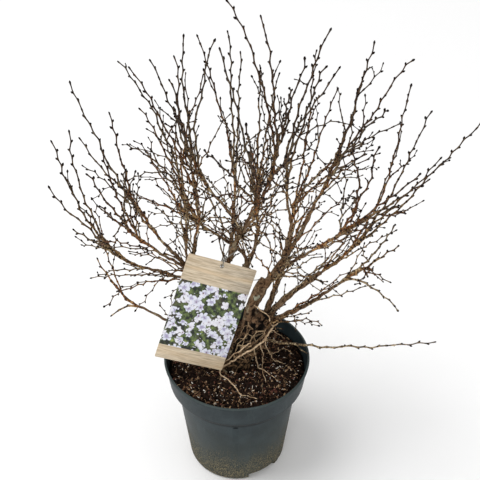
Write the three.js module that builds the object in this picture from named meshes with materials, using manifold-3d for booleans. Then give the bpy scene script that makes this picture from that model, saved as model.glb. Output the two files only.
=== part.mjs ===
// A potted kojo-no-mai fuji cherry in winter: a bare, twiggy shrub in a round nursery pot with a hang label.
// Millimetres, +Z up. The origin is the centre of the pot's flat underside, and the plant's front is at -Y.
import * as THREE from 'three';
import { mergeVertices } from 'three/addons/utils/BufferGeometryUtils.js';
import Module from 'manifold-3d';

const wasm = await Module();
wasm.setup();

const CLEAR = 0.35; // gap between neighbouring solids

// Pot: a tapering body with a stepped collar, a thin rim lip and two drainage notches at its foot
const POT_HEIGHT = 210;
const RIM_RADIUS = 115;
const RIM_HEIGHT = 5;
const RIM_OVERHANG = 1.2;
const COLLAR_HEIGHT = 44;
const COLLAR_FOOT_RADIUS = 108;
const SHOULDER_RADIUS = 97;
const SHOULDER_DROP = 4;
const BASE_RADIUS = 80;
const BASE_ROUND = 5;
const WALL = 2;
const FLOOR = 3;
const POT_SEGMENTS = 36;
const NOTCH_TURNS = [-57, 123];
const NOTCH = { arc: 38, height: 13, depth: 16 };
const DRAIN_HOLES = { count: 6, ring: 44, radius: 6, sides: 8 };
const MOULD_MARK = { turn: -91, below: 15, size: [9, 3, 4.5] };

// Soil: fills the pot up to a little under the rim
const SOIL_TOP = 188;
const SOIL_EDGE_DROP = 3;
const SOIL_FLAT_RADIUS = 94;

// Trunk: a short leaning butt with a root flare, and a second stem that forks from it low down
const TRUNK_FOOT = [3, 5];
const TRUNK_LIFT = 30;
const RIGHT_CROTCH = [42, 12, 278];
const LEFT_CROTCH = [-14, 38, 262];
const LEFT_STEM_FROM = 0.3;
const TRUNK_RADII = [18.5, 16];
const LEFT_STEM_RADII = [14, 9];
const FLARE = { radius: 3, share: 0.4, lobes: 5, depth: 0.12 };
const ARM_SHARE = 0.22; // part of each main bough that belongs to the trunk's fork
const ARM_SWELL = 2.5;

// Tips are given from this point as turn (degrees from +X towards +Y), rise (degrees) and reach
const HEART = [10, 18, 230];

// Main boughs: each leaves the trunk at a share of its height and bends to its tip. Where its own start
// isn't along the trunk, leaves gives that direction's turn and rise.
const MAIN_RADII = [6, 3.6];
const MAIN_BOUGHS = [
  { name: 'bough_right_inner', from: ['trunk_right', 0.6], leaves: [120, 82], tip: [13, 68, 160],
    radii: [7.6, 4.6] },
  { name: 'bough_right_outer', from: ['trunk_right', 1], tip: [13, 42, 165], radii: [6.2, 3.6] },
  { name: 'bough_low_right', from: ['trunk_right', 0.85], leaves: [-8, 24], tip: [-4, 40, 182],
    radii: [4.4, 2.8] },
  { name: 'bough_back_right', from: ['trunk_right', 0.9], tip: [54, 46, 185], radii: [5.6, 3] },
  { name: 'bough_centre', from: ['trunk_left', 1], tip: [104, 79, 170] },
  { name: 'bough_left', from: ['trunk_left', 0.9], tip: [164, 55, 140] },
  { name: 'bough_back', from: ['trunk_left', 0.95], tip: [80, 55, 125] },
  { name: 'bough_low_left', from: ['trunk_right', 0.25], leaves: [172, 20], tip: [-177, 25, 175],
    radii: [3.4, 2.2] },
];

// Upper boughs: each leaves a main bough in the same way
const UPPER_RADII = [3.1, 2.2];
const UPPER_BOUGHS = [
  { name: 'bough_right_upper', from: ['bough_right_inner', 1], tip: [15, 66, 260], radii: [3.8, 2.6] },
  { name: 'bough_right_middle', from: ['bough_right_inner', 0.97], tip: [2, 77, 265] },
  { name: 'bough_right_front', from: ['bough_right_inner', 0.6], tip: [-12, 62, 215] },
  { name: 'bough_centre_left', from: ['bough_centre', 1], tip: [132, 76, 245] },
  { name: 'bough_centre_right', from: ['bough_centre', 0.97], tip: [35, 82, 265] },
  { name: 'bough_centre_back', from: ['bough_centre', 0.75], tip: [99, 65, 220] },
  { name: 'bough_front', from: ['bough_centre', 0.88], tip: [-64, 85, 240] },
  { name: 'bough_left_back', from: ['bough_left', 1], tip: [144, 59, 205] },
  { name: 'bough_left_upper', from: ['bough_left', 0.97], tip: [172, 56, 210] },
  { name: 'bough_left_inner', from: ['bough_left', 0.8], tip: [158, 68, 200] },
  { name: 'bough_left_front', from: ['bough_left', 0.55], tip: [-175, 55, 225] },
  { name: 'bough_left_low', from: ['bough_left', 0.4], tip: [179, 44, 200] },
  { name: 'bough_back_middle', from: ['bough_back', 1], tip: [76, 58, 180] },
  { name: 'bough_back_left', from: ['bough_back', 0.9], tip: [118, 53, 175] },
];

// Twig masses: the first shoot is the mass's stem, which goes on from its bough, and the others leave it
const MASSES = [
  { name: 'twigs_right_upper', from: ['bough_right_upper', 1],
    shoots: [[14, 70, 505], [1, 66, 515], [-19, 67, 470], [28, 65, 450]] },
  { name: 'twigs_right_middle', from: ['bough_right_middle', 1],
    shoots: [[-10, 79, 525], [-32, 77, 500], [11, 75, 465]] },
  { name: 'twigs_right_front', from: ['bough_right_front', 1],
    shoots: [[-22, 57, 430], [-35, 65, 450], [-11, 53, 405], [-48, 67, 465], [-31, 56, 400]] },
  { name: 'twigs_right_outer', from: ['bough_right_outer', 1],
    shoots: [[9, 56, 455], [0, 51, 490], [16, 60, 465], [14, 44, 410]] },
  { name: 'twigs_low_right', from: ['bough_low_right', 1],
    shoots: [[-13, 45, 305], [-21, 52, 345], [-4, 17, 245], [-21, 45, 270]] },
  { name: 'twigs_centre_left', from: ['bough_centre_left', 1],
    shoots: [[127, 74, 475], [141, 75, 455], [115, 79, 470]] },
  { name: 'twigs_centre_right', from: ['bough_centre_right', 1],
    shoots: [[64, 84, 510], [115, 85, 530], [-6, 81, 480], [-52, 79, 475]] },
  { name: 'twigs_centre_back', from: ['bough_centre_back', 1],
    shoots: [[98, 72, 470], [110, 65, 465], [91, 67, 440]] },
  { name: 'twigs_front', from: ['bough_front', 1],
    shoots: [[-90, 74, 465], [-107, 70, 455], [-72, 69, 465], [-120, 84, 505], [-84, 65, 455]] },
  { name: 'twigs_left_inner', from: ['bough_left_inner', 1],
    shoots: [[160, 70, 460], [165, 75, 470], [179, 78, 450], [-158, 76, 415]] },
  { name: 'twigs_left_back', from: ['bough_left_back', 1],
    shoots: [[149, 65, 465], [165, 63, 365], [134, 55, 390]] },
  { name: 'twigs_left_upper', from: ['bough_left_upper', 1],
    shoots: [[174, 62, 480], [177, 66, 430], [165, 54, 400]] },
  { name: 'twigs_left_front', from: ['bough_left_front', 1],
    shoots: [[-158, 59, 410], [-168, 63, 405], [-153, 65, 395], [-152, 57, 375]] },
  { name: 'twigs_left_low', from: ['bough_left_low', 1],
    shoots: [[-174, 56, 445], [180, 58, 435], [-176, 48, 395], [-168, 46, 340], [-164, 48, 315]] },
  { name: 'twigs_low_left', from: ['bough_low_left', 1],
    shoots: [[179, 35, 265], [-172, 20, 210], [174, 26, 225]] },
  { name: 'twigs_back_middle', from: ['bough_back_middle', 1],
    shoots: [[82, 61, 420], [76, 56, 415], [88, 39, 340]] },
  { name: 'twigs_back_right', from: ['bough_back_right', 1],
    shoots: [[54, 53, 415], [56, 66, 455], [45, 38, 355], [31, 48, 410]] },
  { name: 'twigs_back_left', from: ['bough_back_left', 1],
    shoots: [[117, 51, 375], [127, 40, 340], [105, 56, 415]] },
  { name: 'twigs_low_shoot', from: ['trunk_right', 0.7], leaves: [-5, -24], lengths: [26, 10],
    shoots: [[-2, 0, 300]] },
];
const STEM_RADII = [2.2, 1];
const SHOOT_RADII = [2, 1];
const SHOOT_STEP = 62;
const FIRST_FORK = 0.05;
const FORK_STEP = 0.09;
const BEND = 0.35; // share of a limb's length over which it keeps its first direction

// Side twigs: they leave each shoot in a spiral, shorter towards its tip
const TWIG_SPACING = 46;
const TWIG_START = 0.1;
const TWIG_END = 0.82;
const TWIG_LENGTHS = [92, 20]; // at a shoot's foot and at its tip
const TWIG_LENGTH_SPREAD = 0.35;
const TWIG_ANGLES = [24, 50];
const TWIG_RADII = [1.5, 1];
const TWIG_BEND = 0.5;
const TWIG_LIFT = 0.25;
const TWIG_REACH = 0.9;
const TWIG_PLACE = [0.2, 0.8]; // where in its own part of the shoot a twig leaves it
const TWIG_TRIES = [1, 0.6]; // shares of its length that a twig is tried with
const LONG_TWIG = 70; // longer twigs than this are bent
const SPIRAL_STEP = 137.5;
const OWN_SPACE = 4.5; // a twig stays this much nearer its own shoots than any other limb
const SPACE_SHARES = [0.3, 0.5, 0.7, 0.85, 1]; // where along a twig that is looked at
const LIMB_MARKS = { trunk: 10, bough: 16, shoot: 24 }; // how many points stand for a limb there

// Surface roots: thin pale strands that come down in front of the trunk and lie on the soil
const STRAND_RADIUS = 0.9;
const STRAND_LAY = SOIL_TOP + CLEAR + STRAND_RADIUS;
const STRANDS = [
  [[66, 6, 277], [59, 0, 274], [42, -10, 257], [27, -16, 240], [13, -19, 231], [-3, -21, 218],
    [-15, -18, 206], [-26, -16, 195], [-27, -24, STRAND_LAY], [-14, -37, STRAND_LAY],
    [0, -54, STRAND_LAY], [14, -64, STRAND_LAY], [28, -74, STRAND_LAY]],
  [[27, -16, 240], [30, -13, 212], [37, -12, STRAND_LAY], [52, -26, STRAND_LAY], [60, -31, STRAND_LAY]],
  [[36, -13, 250], [40, -8, 215], [42, -6, STRAND_LAY], [45, -40, STRAND_LAY]],
  [[45, -9, 260], [53, -5, 226], [61, 8, STRAND_LAY], [86, -13, STRAND_LAY]],
];

// Label: a thin card hung on the middle stem by a loop, its face to the front
const LABEL = { width: 110, height: 170, thickness: 0.8, corner: 2, hole: 2.5, holeDrop: 7, berth: 9 };
const LABEL_CENTRE = [-47, -1, 298];
const LABEL_FACING = [0.24, -0.92, 0.32];
const LABEL_LEAN = -24;
const LOOP = { radius: 0.8, sides: 5, steps: 28, at: 0.9, slack: 0.9, front: 3, play: 0.6 };

// Colours and surface of each material
const MATERIALS = {
  pot: { color: '#43494b', roughness: 0.55, metalness: 0 },
  soil: { color: '#2a1f19', roughness: 1, metalness: 0 },
  bark: { color: '#4f3a2c', roughness: 0.9, metalness: 0 },
  twig: { color: '#6a4430', roughness: 0.8, metalness: 0 },
  root: { color: '#a98560', roughness: 0.8, metalness: 0 },
  label: { color: '#cdb08c', roughness: 0.6, metalness: 0 },
  loop: { color: '#a9a59c', roughness: 0.5, metalness: 0 },
};

const UP = new THREE.Vector3(0, 0, 1);
const radians = THREE.MathUtils.degToRad;

// The same number between low and high each time for the same whole-number keys
function chance(low, high, ...keys) {
  let mixed = 2166136261;
  for (const key of keys) {
    mixed = Math.imul(mixed ^ key, 16777619);
    mixed = Math.imul(mixed ^ (mixed >>> 15), 2246822519);
  }
  mixed ^= mixed >>> 13;
  return low + (high - low) * (mixed >>> 0) / 4294967296;
}

// A direction or an offset with a turn, a rise and a length
function polar([turn, rise, reach = 1]) {
  const level = Math.cos(radians(rise)) * reach;
  return new THREE.Vector3(
    Math.cos(radians(turn)) * level, Math.sin(radians(turn)) * level, Math.sin(radians(rise)) * reach);
}

const fromHeart = (tip) => polar(tip).add(new THREE.Vector3(...HEART));
const evenTaper = ([foot, tip]) => (share) => foot + (tip - foot) * share;

// A closed geometry as a solid, without the triangles that have no area
function toSolid(geometry) {
  const bare = geometry.clone();
  bare.deleteAttribute('normal');
  bare.deleteAttribute('uv');
  const merged = mergeVertices(bare, 1e-4);
  const corners = merged.index.array;
  const kept = [];
  for (let i = 0; i < corners.length; i += 3) {
    const [a, b, c] = corners.slice(i, i + 3);
    if (a !== b && b !== c && c !== a) kept.push(a, b, c);
  }
  const vertProperties = new Float32Array(merged.attributes.position.array);
  return new wasm.Manifold(new wasm.Mesh({ numProp: 3, vertProperties, triVerts: new Uint32Array(kept) }));
}

function toGeometry(solid) {
  const mesh = solid.getMesh();
  const geometry = new THREE.BufferGeometry();
  geometry.setAttribute('position', new THREE.BufferAttribute(mesh.vertProperties, 3));
  geometry.setIndex(new THREE.BufferAttribute(mesh.triVerts, 1));
  geometry.computeVertexNormals();
  return geometry;
}

const join = (solids) => solids.reduce((whole, next) => whole.add(next));
const cut = (solid, cutters) => cutters.reduce((left, cutter) => left.subtract(cutter), solid);

// Where a cut leaves loose scraps, only the largest piece stays
function largestPiece(solid) {
  return solid.decompose().reduce((best, next) => (next.volume() > best.volume() ? next : best));
}

// A profile of [radius, height] points turned about the vertical axis
function turned(profile, segments) {
  const points = profile.map(([radius, height]) => new THREE.Vector2(radius, height));
  return toSolid(new THREE.LatheGeometry(points, segments).rotateX(Math.PI / 2));
}

// A tapering limb: a cylinder, or a cone where it ends in a point, whose rings are set along the limb's curve
function limbSolid({ curve, radiusAt, sides, steps, pointed }, grow = 0) {
  const geometry = new THREE.CylinderGeometry(pointed ? 0 : 1, 1, 1, sides, steps);
  const frames = curve.computeFrenetFrames(steps, false);
  const position = geometry.attributes.position;
  for (let i = 0; i < position.count; i++) {
    const ring = Math.round((position.getY(i) + 0.5) * steps);
    const share = ring / steps;
    const angle = Math.atan2(position.getZ(i), position.getX(i));
    const centred = Math.hypot(position.getX(i), position.getZ(i)) < 1e-6;
    const radius = centred ? 0 : radiusAt(share, angle) + grow;
    const end = ring === 0 ? -grow : ring === steps ? grow : 0;
    const point = curve.getPointAt(share)
      .addScaledVector(frames.normals[ring], Math.cos(angle) * radius)
      .addScaledVector(frames.binormals[ring], -Math.sin(angle) * radius)
      .addScaledVector(frames.tangents[ring], end);
    position.setXYZ(i, point.x, point.y, point.z);
  }
  return toSolid(geometry);
}

// A curve that leaves its parent along the parent's own direction, or the given one, and bends to its tip
function branchCurve(parent, at, tip, leaves) {
  const start = parent.getPoint(at);
  const direction = leaves ? polar(leaves) : parent.getTangent(at);
  const control = start.clone().addScaledVector(direction, start.distanceTo(tip) * BEND);
  return new THREE.QuadraticBezierCurve3(start, control, tip);
}

// The part of a curve between two shares of it
function curvePart({ v0, v1, v2 }, from, to) {
  const blend = (s, t) => new THREE.Vector3()
    .addScaledVector(v0, (1 - s) * (1 - t))
    .addScaledVector(v1, (1 - s) * t + s * (1 - t))
    .addScaledVector(v2, s * t);
  return new THREE.QuadraticBezierCurve3(blend(from, from), blend(from, to), blend(to, to));
}

// Pot: radii of its outside at a height on the body and on the collar
const COLLAR_FOOT = POT_HEIGHT - COLLAR_HEIGHT;
const SHOULDER = COLLAR_FOOT - SHOULDER_DROP;
const RIM_FOOT = POT_HEIGHT - RIM_HEIGHT;
const bodyRadius = (height) => THREE.MathUtils.mapLinear(height, 0, SHOULDER, BASE_RADIUS, SHOULDER_RADIUS);
const collarRadius = (height) =>
  THREE.MathUtils.mapLinear(height, COLLAR_FOOT, POT_HEIGHT, COLLAR_FOOT_RADIUS, RIM_RADIUS - RIM_OVERHANG);

// The hollow of the pot, or the soil in it, drawn in from the pot's outside by an inset
function innerProfile(inset, floor, top, edgeDrop = 0) {
  return [
    [0, floor],
    [bodyRadius(floor) - inset - BASE_ROUND, floor],
    [bodyRadius(floor + BASE_ROUND) - inset, floor + BASE_ROUND],
    [SHOULDER_RADIUS - inset, SHOULDER + inset],
    [COLLAR_FOOT_RADIUS - inset, COLLAR_FOOT + inset],
    [collarRadius(top - edgeDrop) - inset, top - edgeDrop],
    ...(edgeDrop ? [[SOIL_FLAT_RADIUS, top]] : []),
    [0, top],
  ];
}

// A sector of a ring about the pot's axis, from the ground up
function sector(turn, arc, inner, outer, height) {
  const [from, to] = [turn - arc / 2, turn + arc / 2].map(radians);
  const shape = new THREE.Shape();
  shape.absarc(0, 0, outer, from, to, false);
  shape.absarc(0, 0, inner, to, from, true);
  const extrusion = { depth: height + 1, bevelEnabled: false, curveSegments: 5 };
  return toSolid(new THREE.ExtrudeGeometry(shape, extrusion).translate(0, 0, -1));
}

// The notch pockets, each grown by what its lining takes
function notchSolids(lining) {
  const inner = BASE_RADIUS - NOTCH.depth;
  const extraArc = 2 * THREE.MathUtils.radToDeg(lining / inner);
  return NOTCH_TURNS.map((turn) =>
    sector(turn, NOTCH.arc + extraArc, inner - lining, SHOULDER_RADIUS, NOTCH.height + lining));
}

function potSolid() {
  const outside = turned([
    [0, 0],
    [BASE_RADIUS - BASE_ROUND, 0],
    [BASE_RADIUS - BASE_ROUND * 0.3, BASE_ROUND * 0.3],
    [bodyRadius(BASE_ROUND), BASE_ROUND],
    [SHOULDER_RADIUS, SHOULDER],
    [COLLAR_FOOT_RADIUS, COLLAR_FOOT],
    [collarRadius(RIM_FOOT), RIM_FOOT],
    [RIM_RADIUS, RIM_FOOT + RIM_OVERHANG],
    [RIM_RADIUS, POT_HEIGHT - 1],
    [RIM_RADIUS - 1, POT_HEIGHT],
    [0, POT_HEIGHT],
  ], POT_SEGMENTS);
  const hollow = cut(turned(innerProfile(WALL, FLOOR, POT_HEIGHT + 1), POT_SEGMENTS), notchSolids(WALL));
  const { count, ring, radius, sides } = DRAIN_HOLES;
  const holes = Array.from({ length: count }, (_, i) => {
    const hole = new THREE.CylinderGeometry(radius, radius, 3 * FLOOR, sides).rotateX(Math.PI / 2);
    return toSolid(hole.translate(...polar([360 * i / count, 0, ring])));
  });
  const markHeight = SHOULDER - MOULD_MARK.below;
  const mark = new THREE.SphereGeometry(0.5, 8, 6).scale(...MOULD_MARK.size)
    .rotateZ(radians(MOULD_MARK.turn + 90)).translate(...polar([MOULD_MARK.turn, 0, bodyRadius(markHeight)]))
    .translate(0, 0, markHeight);
  return cut(outside, [hollow, ...notchSolids(0), ...holes, toSolid(mark)]);
}

function soilSolid() {
  const inset = WALL + CLEAR;
  const filling = turned(innerProfile(inset, FLOOR + CLEAR, SOIL_TOP, SOIL_EDGE_DROP), POT_SEGMENTS);
  return cut(filling, notchSolids(inset));
}

// Trunk curves, with a level cut at the soil
const trunkFoot = new THREE.Vector3(...TRUNK_FOOT, SOIL_TOP + CLEAR);
const trunkLift = trunkFoot.clone().addScaledVector(UP, TRUNK_LIFT);
const curves = {};
const [rightCrotch, leftCrotch] = [RIGHT_CROTCH, LEFT_CROTCH].map((point) => new THREE.Vector3(...point));
curves.trunk_right = new THREE.QuadraticBezierCurve3(trunkFoot, trunkLift, rightCrotch);
curves.trunk_left = branchCurve(curves.trunk_right, LEFT_STEM_FROM, leftCrotch);

// The butt's radius swells into lobes where the roots begin
function flaredRadius(share, angle = 0) {
  const swell = Math.max(0, 1 - share / FLARE.share) ** 2;
  const lobes = 1 + FLARE.depth * swell * Math.cos(FLARE.lobes * angle);
  return (evenTaper(TRUNK_RADII)(share) + FLARE.radius * swell) * lobes;
}

const trunkLimbs = [
  { curve: curves.trunk_right, radiusAt: flaredRadius, sides: 15, steps: 7 },
  { curve: curves.trunk_left, radiusAt: evenTaper(LEFT_STEM_RADII), sides: 8, steps: 4 },
];

// Each main bough's first part is an arm of the trunk's fork
const boughLimbs = [];
for (const { name, from: [parent, at], leaves, tip, radii = MAIN_RADII } of MAIN_BOUGHS) {
  const whole = branchCurve(curves[parent], at, fromHeart(tip), leaves);
  const taper = evenTaper(radii);
  const armTaper = (share) => taper(share * ARM_SHARE) + ARM_SWELL * (1 - share);
  const boughTaper = (share) => taper(ARM_SHARE + (1 - ARM_SHARE) * share);
  curves[name] = whole;
  trunkLimbs.push({ curve: curvePart(whole, 0, ARM_SHARE), radiusAt: armTaper, sides: 6, steps: 2 });
  boughLimbs.push({ name, curve: curvePart(whole, ARM_SHARE, 1), radiusAt: boughTaper, sides: 6, steps: 5 });
}
for (const { name, from: [parent, at], tip, radii = UPPER_RADII } of UPPER_BOUGHS) {
  curves[name] = branchCurve(curves[parent], at, fromHeart(tip));
  boughLimbs.push({ name, curve: curves[name], radiusAt: evenTaper(radii), sides: 5, steps: 4 });
}

// The trunk, and a copy of all the wood so far, swollen by the gap that its neighbours keep to it
const trunk = join(trunkLimbs.map((limb) => limbSolid(limb)));
let woodSpace = join(trunkLimbs.map((limb) => limbSolid(limb, CLEAR)));

// Boughs give way to the trunk and to the boughs before them
const boughs = boughLimbs.map((limb) => {
  const solid = largestPiece(limbSolid(limb).subtract(woodSpace));
  woodSpace = woodSpace.add(limbSolid(limb, CLEAR));
  return { name: limb.name, solid };
});

// The shoots of each mass, its stem first
function massShoots({ from: [parent, at], leaves, shoots }) {
  const stem = branchCurve(curves[parent], at, fromHeart(shoots[0]), leaves);
  const fork = (tip, i) => branchCurve(stem, FIRST_FORK + FORK_STEP * i, fromHeart(tip));
  const forks = shoots.slice(1).map(fork);
  return [stem, ...forks].map((curve, i) => {
    const steps = Math.max(3, Math.round(curve.getLength() / SHOOT_STEP));
    return { curve, radiusAt: evenTaper(i ? SHOOT_RADII : STEM_RADII), sides: 3, steps, pointed: true };
  });
}
const masses = MASSES.map((mass) => ({ ...mass, shoots: massShoots(mass) }));

// The label's own frame: x along its width, y up its height, z out of its face
const labelFacing = new THREE.Vector3(...LABEL_FACING).normalize();
const labelAcross = new THREE.Vector3().crossVectors(UP, labelFacing).normalize()
  .applyAxisAngle(labelFacing, radians(LABEL_LEAN));
const labelUp = new THREE.Vector3().crossVectors(labelFacing, labelAcross);
const labelFrame = new THREE.Matrix4().makeBasis(labelAcross, labelUp, labelFacing)
  .setPosition(...LABEL_CENTRE);
const intoLabel = labelFrame.clone().invert();

// Nothing may grow through the label or in front of its face
function hidesLabel(point) {
  const local = point.clone().applyMatrix4(intoLabel);
  const { width, height, berth } = LABEL;
  const beside = Math.abs(local.x) > width / 2 + berth || Math.abs(local.y) > height / 2 + berth;
  return !beside && local.z > -berth;
}

// Points along every limb, with the limb's radius there, for the rule of own space
const marks = [];
function markLimb(owner, { curve, radiusAt }, count) {
  for (let i = 0; i <= count; i++) {
    marks.push({ owner, point: curve.getPoint(i / count), radius: radiusAt(i / count) });
  }
}
for (const limb of trunkLimbs) markLimb('trunk', limb, LIMB_MARKS.trunk);
for (const limb of boughLimbs) markLimb(limb.name, limb, LIMB_MARKS.bough);
for (const { name, shoots } of masses) shoots.forEach((shoot) => markLimb(name, shoot, LIMB_MARKS.shoot));

function keepsItsSpace(curve, owner) {
  return SPACE_SHARES.every((share) => {
    const point = curve.getPoint(share);
    const nearest = { own: Infinity, other: Infinity };
    for (const mark of marks) {
      const side = mark.owner === owner ? 'own' : 'other';
      nearest[side] = Math.min(nearest[side], point.distanceTo(mark.point) - mark.radius);
    }
    return nearest.own + OWN_SPACE < nearest.other && !hidesLabel(point);
  });
}

// One side twig: it leaves its shoot at an angle and lifts a little towards the light
function twigCurve(shoot, at, turn, angle, length) {
  const along = shoot.getTangent(at);
  const across = new THREE.Vector3().crossVectors(along, UP).normalize();
  const direction = along.clone().applyAxisAngle(across, radians(angle)).applyAxisAngle(along, radians(turn));
  const start = shoot.getPoint(at);
  const control = start.clone().addScaledVector(direction, length * TWIG_BEND);
  const tip = start.clone().addScaledVector(direction, length * TWIG_REACH)
    .addScaledVector(UP, length * TWIG_LIFT);
  return new THREE.QuadraticBezierCurve3(start, control, tip);
}

// The side twigs of one shoot. One that would leave the mass's own space is tried shorter, then skipped.
function sideTwigs(owner, shoot, lengths, ...keys) {
  const count = Math.round(shoot.getLength() * (TWIG_END - TWIG_START) / TWIG_SPACING);
  const twigs = [];
  for (let i = 0; i < count; i++) {
    const at = TWIG_START + (TWIG_END - TWIG_START) * (i + chance(...TWIG_PLACE, ...keys, i, 1)) / count;
    const turn = SPIRAL_STEP * i + chance(0, 360, ...keys, 0, 0);
    const angle = chance(...TWIG_ANGLES, ...keys, i, 2);
    const spread = chance(1 - TWIG_LENGTH_SPREAD, 1 + TWIG_LENGTH_SPREAD, ...keys, i, 3);
    const length = THREE.MathUtils.lerp(...lengths, at) * spread;
    const curve = TWIG_TRIES.map((share) => twigCurve(shoot, at, turn, angle, length * share))
      .find((twig) => keepsItsSpace(twig, owner));
    if (curve) twigs.push(curve);
  }
  return twigs;
}

function massSolid({ name, shoots, lengths = TWIG_LENGTHS }, massIndex) {
  const limbs = shoots.flatMap((shoot, shootIndex) => {
    const twigs = sideTwigs(name, shoot.curve, lengths, massIndex, shootIndex).map((curve) => {
      const steps = curve.getLength() > LONG_TWIG ? 2 : 1;
      return { curve, radiusAt: evenTaper(TWIG_RADII), sides: 3, steps, pointed: true };
    });
    return [shoot, ...twigs];
  });
  return largestPiece(join(limbs.map((limb) => limbSolid(limb))).subtract(woodSpace));
}

// A curve that never dips into the soil
class LaidCurve extends THREE.CatmullRomCurve3 {
  getPoint(share, target) {
    const point = super.getPoint(share, target);
    return point.setZ(Math.max(point.z, STRAND_LAY));
  }
}

function surfaceRoots() {
  const strands = STRANDS.map((points) => {
    const curve = new LaidCurve(points.map((point) => new THREE.Vector3(...point)));
    return limbSolid({ curve, radiusAt: () => STRAND_RADIUS, sides: 3, steps: 3 * points.length });
  });
  return largestPiece(join(strands).subtract(woodSpace));
}

// Label card with round corners and a hole near its top edge
function labelCard() {
  const { width, height, thickness, corner, hole, holeDrop } = LABEL;
  const [x, y] = [width / 2 - corner, height / 2 - corner];
  const outline = new THREE.Shape();
  outline.absarc(x, y, corner, 0, Math.PI / 2);
  outline.absarc(-x, y, corner, Math.PI / 2, Math.PI);
  outline.absarc(-x, -y, corner, Math.PI, Math.PI * 1.5);
  outline.absarc(x, -y, corner, Math.PI * 1.5, Math.PI * 2);
  outline.holes.push(new THREE.Path().absarc(0, height / 2 - holeDrop, hole, 0, Math.PI * 2));
  const extrusion = { depth: thickness, bevelEnabled: false, curveSegments: 4 };
  return new THREE.ExtrudeGeometry(outline, extrusion).translate(0, 0, -thickness / 2);
}

// The loop goes through the label's hole, over its top edge and round the middle stem, drawn by hand in
// shares of the loop's size round the stem
const LOOP_ROUND_STEM = [[-0.2, -1.1], [0.9, -0.7], [0.9, 0.7], [-0.2, 1.1]];
function labelLoop() {
  const stem = boughLimbs.find((limb) => limb.name === 'bough_centre');
  const { radius, sides, steps, at, slack, front, play } = LOOP;
  const stemPoint = stem.curve.getPoint(at);
  const round = stem.radiusAt(at) + radius + slack;
  const holeHeight = LABEL.height / 2 - LABEL.holeDrop + LABEL.hole - radius - play;
  const onLabel = (y, z) => new THREE.Vector3(0, y, z).applyMatrix4(labelFrame);
  const reach = new THREE.Vector3().subVectors(stemPoint, onLabel(holeHeight, 0)).setZ(0).normalize();
  const beside = new THREE.Vector3().crossVectors(reach, UP);
  const roundStem = LOOP_ROUND_STEM.map(([away, side]) =>
    stemPoint.clone().addScaledVector(reach, away * round).addScaledVector(beside, side * round));
  const points = [
    onLabel(holeHeight, 0),
    onLabel(holeHeight + front, -front),
    ...roundStem,
    onLabel(LABEL.height / 2 + front, front / 2),
    onLabel(holeHeight, front),
  ];
  return new THREE.TubeGeometry(new THREE.CatmullRomCurve3(points, true), steps, radius, sides, true);
}

const plant = new THREE.Group();

function addMesh(name, geometry, material) {
  const mesh = new THREE.Mesh(geometry, new THREE.MeshStandardMaterial(MATERIALS[material]));
  mesh.name = name;
  plant.add(mesh);
  return mesh;
}

addMesh('pot', toGeometry(potSolid()), 'pot');
addMesh('soil', toGeometry(soilSolid()), 'soil');
addMesh('trunk', toGeometry(trunk), 'bark');
for (const { name, solid } of boughs) addMesh(name, toGeometry(solid), 'bark');
masses.forEach((mass, index) => addMesh(mass.name, toGeometry(massSolid(mass, index)), 'twig'));
addMesh('surface_roots', toGeometry(surfaceRoots()), 'root');
addMesh('label', labelCard(), 'label').applyMatrix4(labelFrame);
addMesh('label_loop', labelLoop(), 'loop');

export default plant;
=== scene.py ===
import math

import bpy
import numpy as np
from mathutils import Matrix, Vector, noise
from mathutils.bvhtree import BVHTree
from mathutils.kdtree import KDTree


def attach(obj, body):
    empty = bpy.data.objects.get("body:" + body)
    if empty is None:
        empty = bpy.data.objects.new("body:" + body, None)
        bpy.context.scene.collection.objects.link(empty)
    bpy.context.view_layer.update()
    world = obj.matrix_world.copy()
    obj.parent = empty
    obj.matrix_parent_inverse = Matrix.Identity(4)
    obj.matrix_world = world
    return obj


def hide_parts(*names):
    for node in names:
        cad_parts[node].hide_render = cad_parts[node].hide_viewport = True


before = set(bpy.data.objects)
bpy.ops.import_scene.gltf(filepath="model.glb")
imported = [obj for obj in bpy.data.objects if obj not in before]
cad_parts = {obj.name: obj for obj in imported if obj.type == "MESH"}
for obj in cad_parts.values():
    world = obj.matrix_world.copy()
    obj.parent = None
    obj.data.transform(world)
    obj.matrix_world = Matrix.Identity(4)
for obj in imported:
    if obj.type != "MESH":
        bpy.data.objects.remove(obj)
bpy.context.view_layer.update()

MM = 0.001

# Camera, as fitted to the pot's rim, collar and base
CAMERA_PLACE = (5, -907, 1112)
CAMERA_PITCH = 36.7
LENS = 60
SENSOR_WIDTH = 36

# Pot
POT_HEIGHT = 210
RIM_RADIUS = 115
RIM_HEIGHT = 5
RIM_OVERHANG = 1.2
COLLAR_FOOT = 166
COLLAR_FOOT_RADIUS = 108
COLLAR_TOP_RADIUS = RIM_RADIUS - RIM_OVERHANG
SHOULDER = 162
SHOULDER_RADIUS = 97
BASE_RADIUS = 80
BASE_ROUND = 5
WALL = 2
FLOOR = 3
POT_SIDES = 144
SHARP_FROM = 38
NOTCH_TURNS = (-57, 123)
NOTCH = {"arc": 38, "height": 13, "inner": 64, "steps": 12}
DRAIN_HOLES = {"count": 6, "ring": 44, "radius": 6}
MOULD_MARK = {"turn": -91, "height": 147, "size": (9, 3, 4.5)}

# Soil
SOIL_GAP = 0.35
SOIL_TOP = 188
SOIL_EDGE_DROP = 3
SOIL_FLAT_RADIUS = 94
SOIL_EDGE_RADIUS = RIM_RADIUS - 8
SOIL_TOP_LAYER = 3
SOIL_MOUNDS = 1.6
SOIL_GRAIN = 0.9
# Waves per millimetre of each pattern on the soil, and which layer of the noise it is cut from
SOIL_WAVES = {"mound": (0.022, 3), "grain": (0.11, 5), "crumb": (0.35, 1)}
SOIL_VOXEL = 2.2
TRUNK_SPOT = (3, 5, 22)

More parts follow.
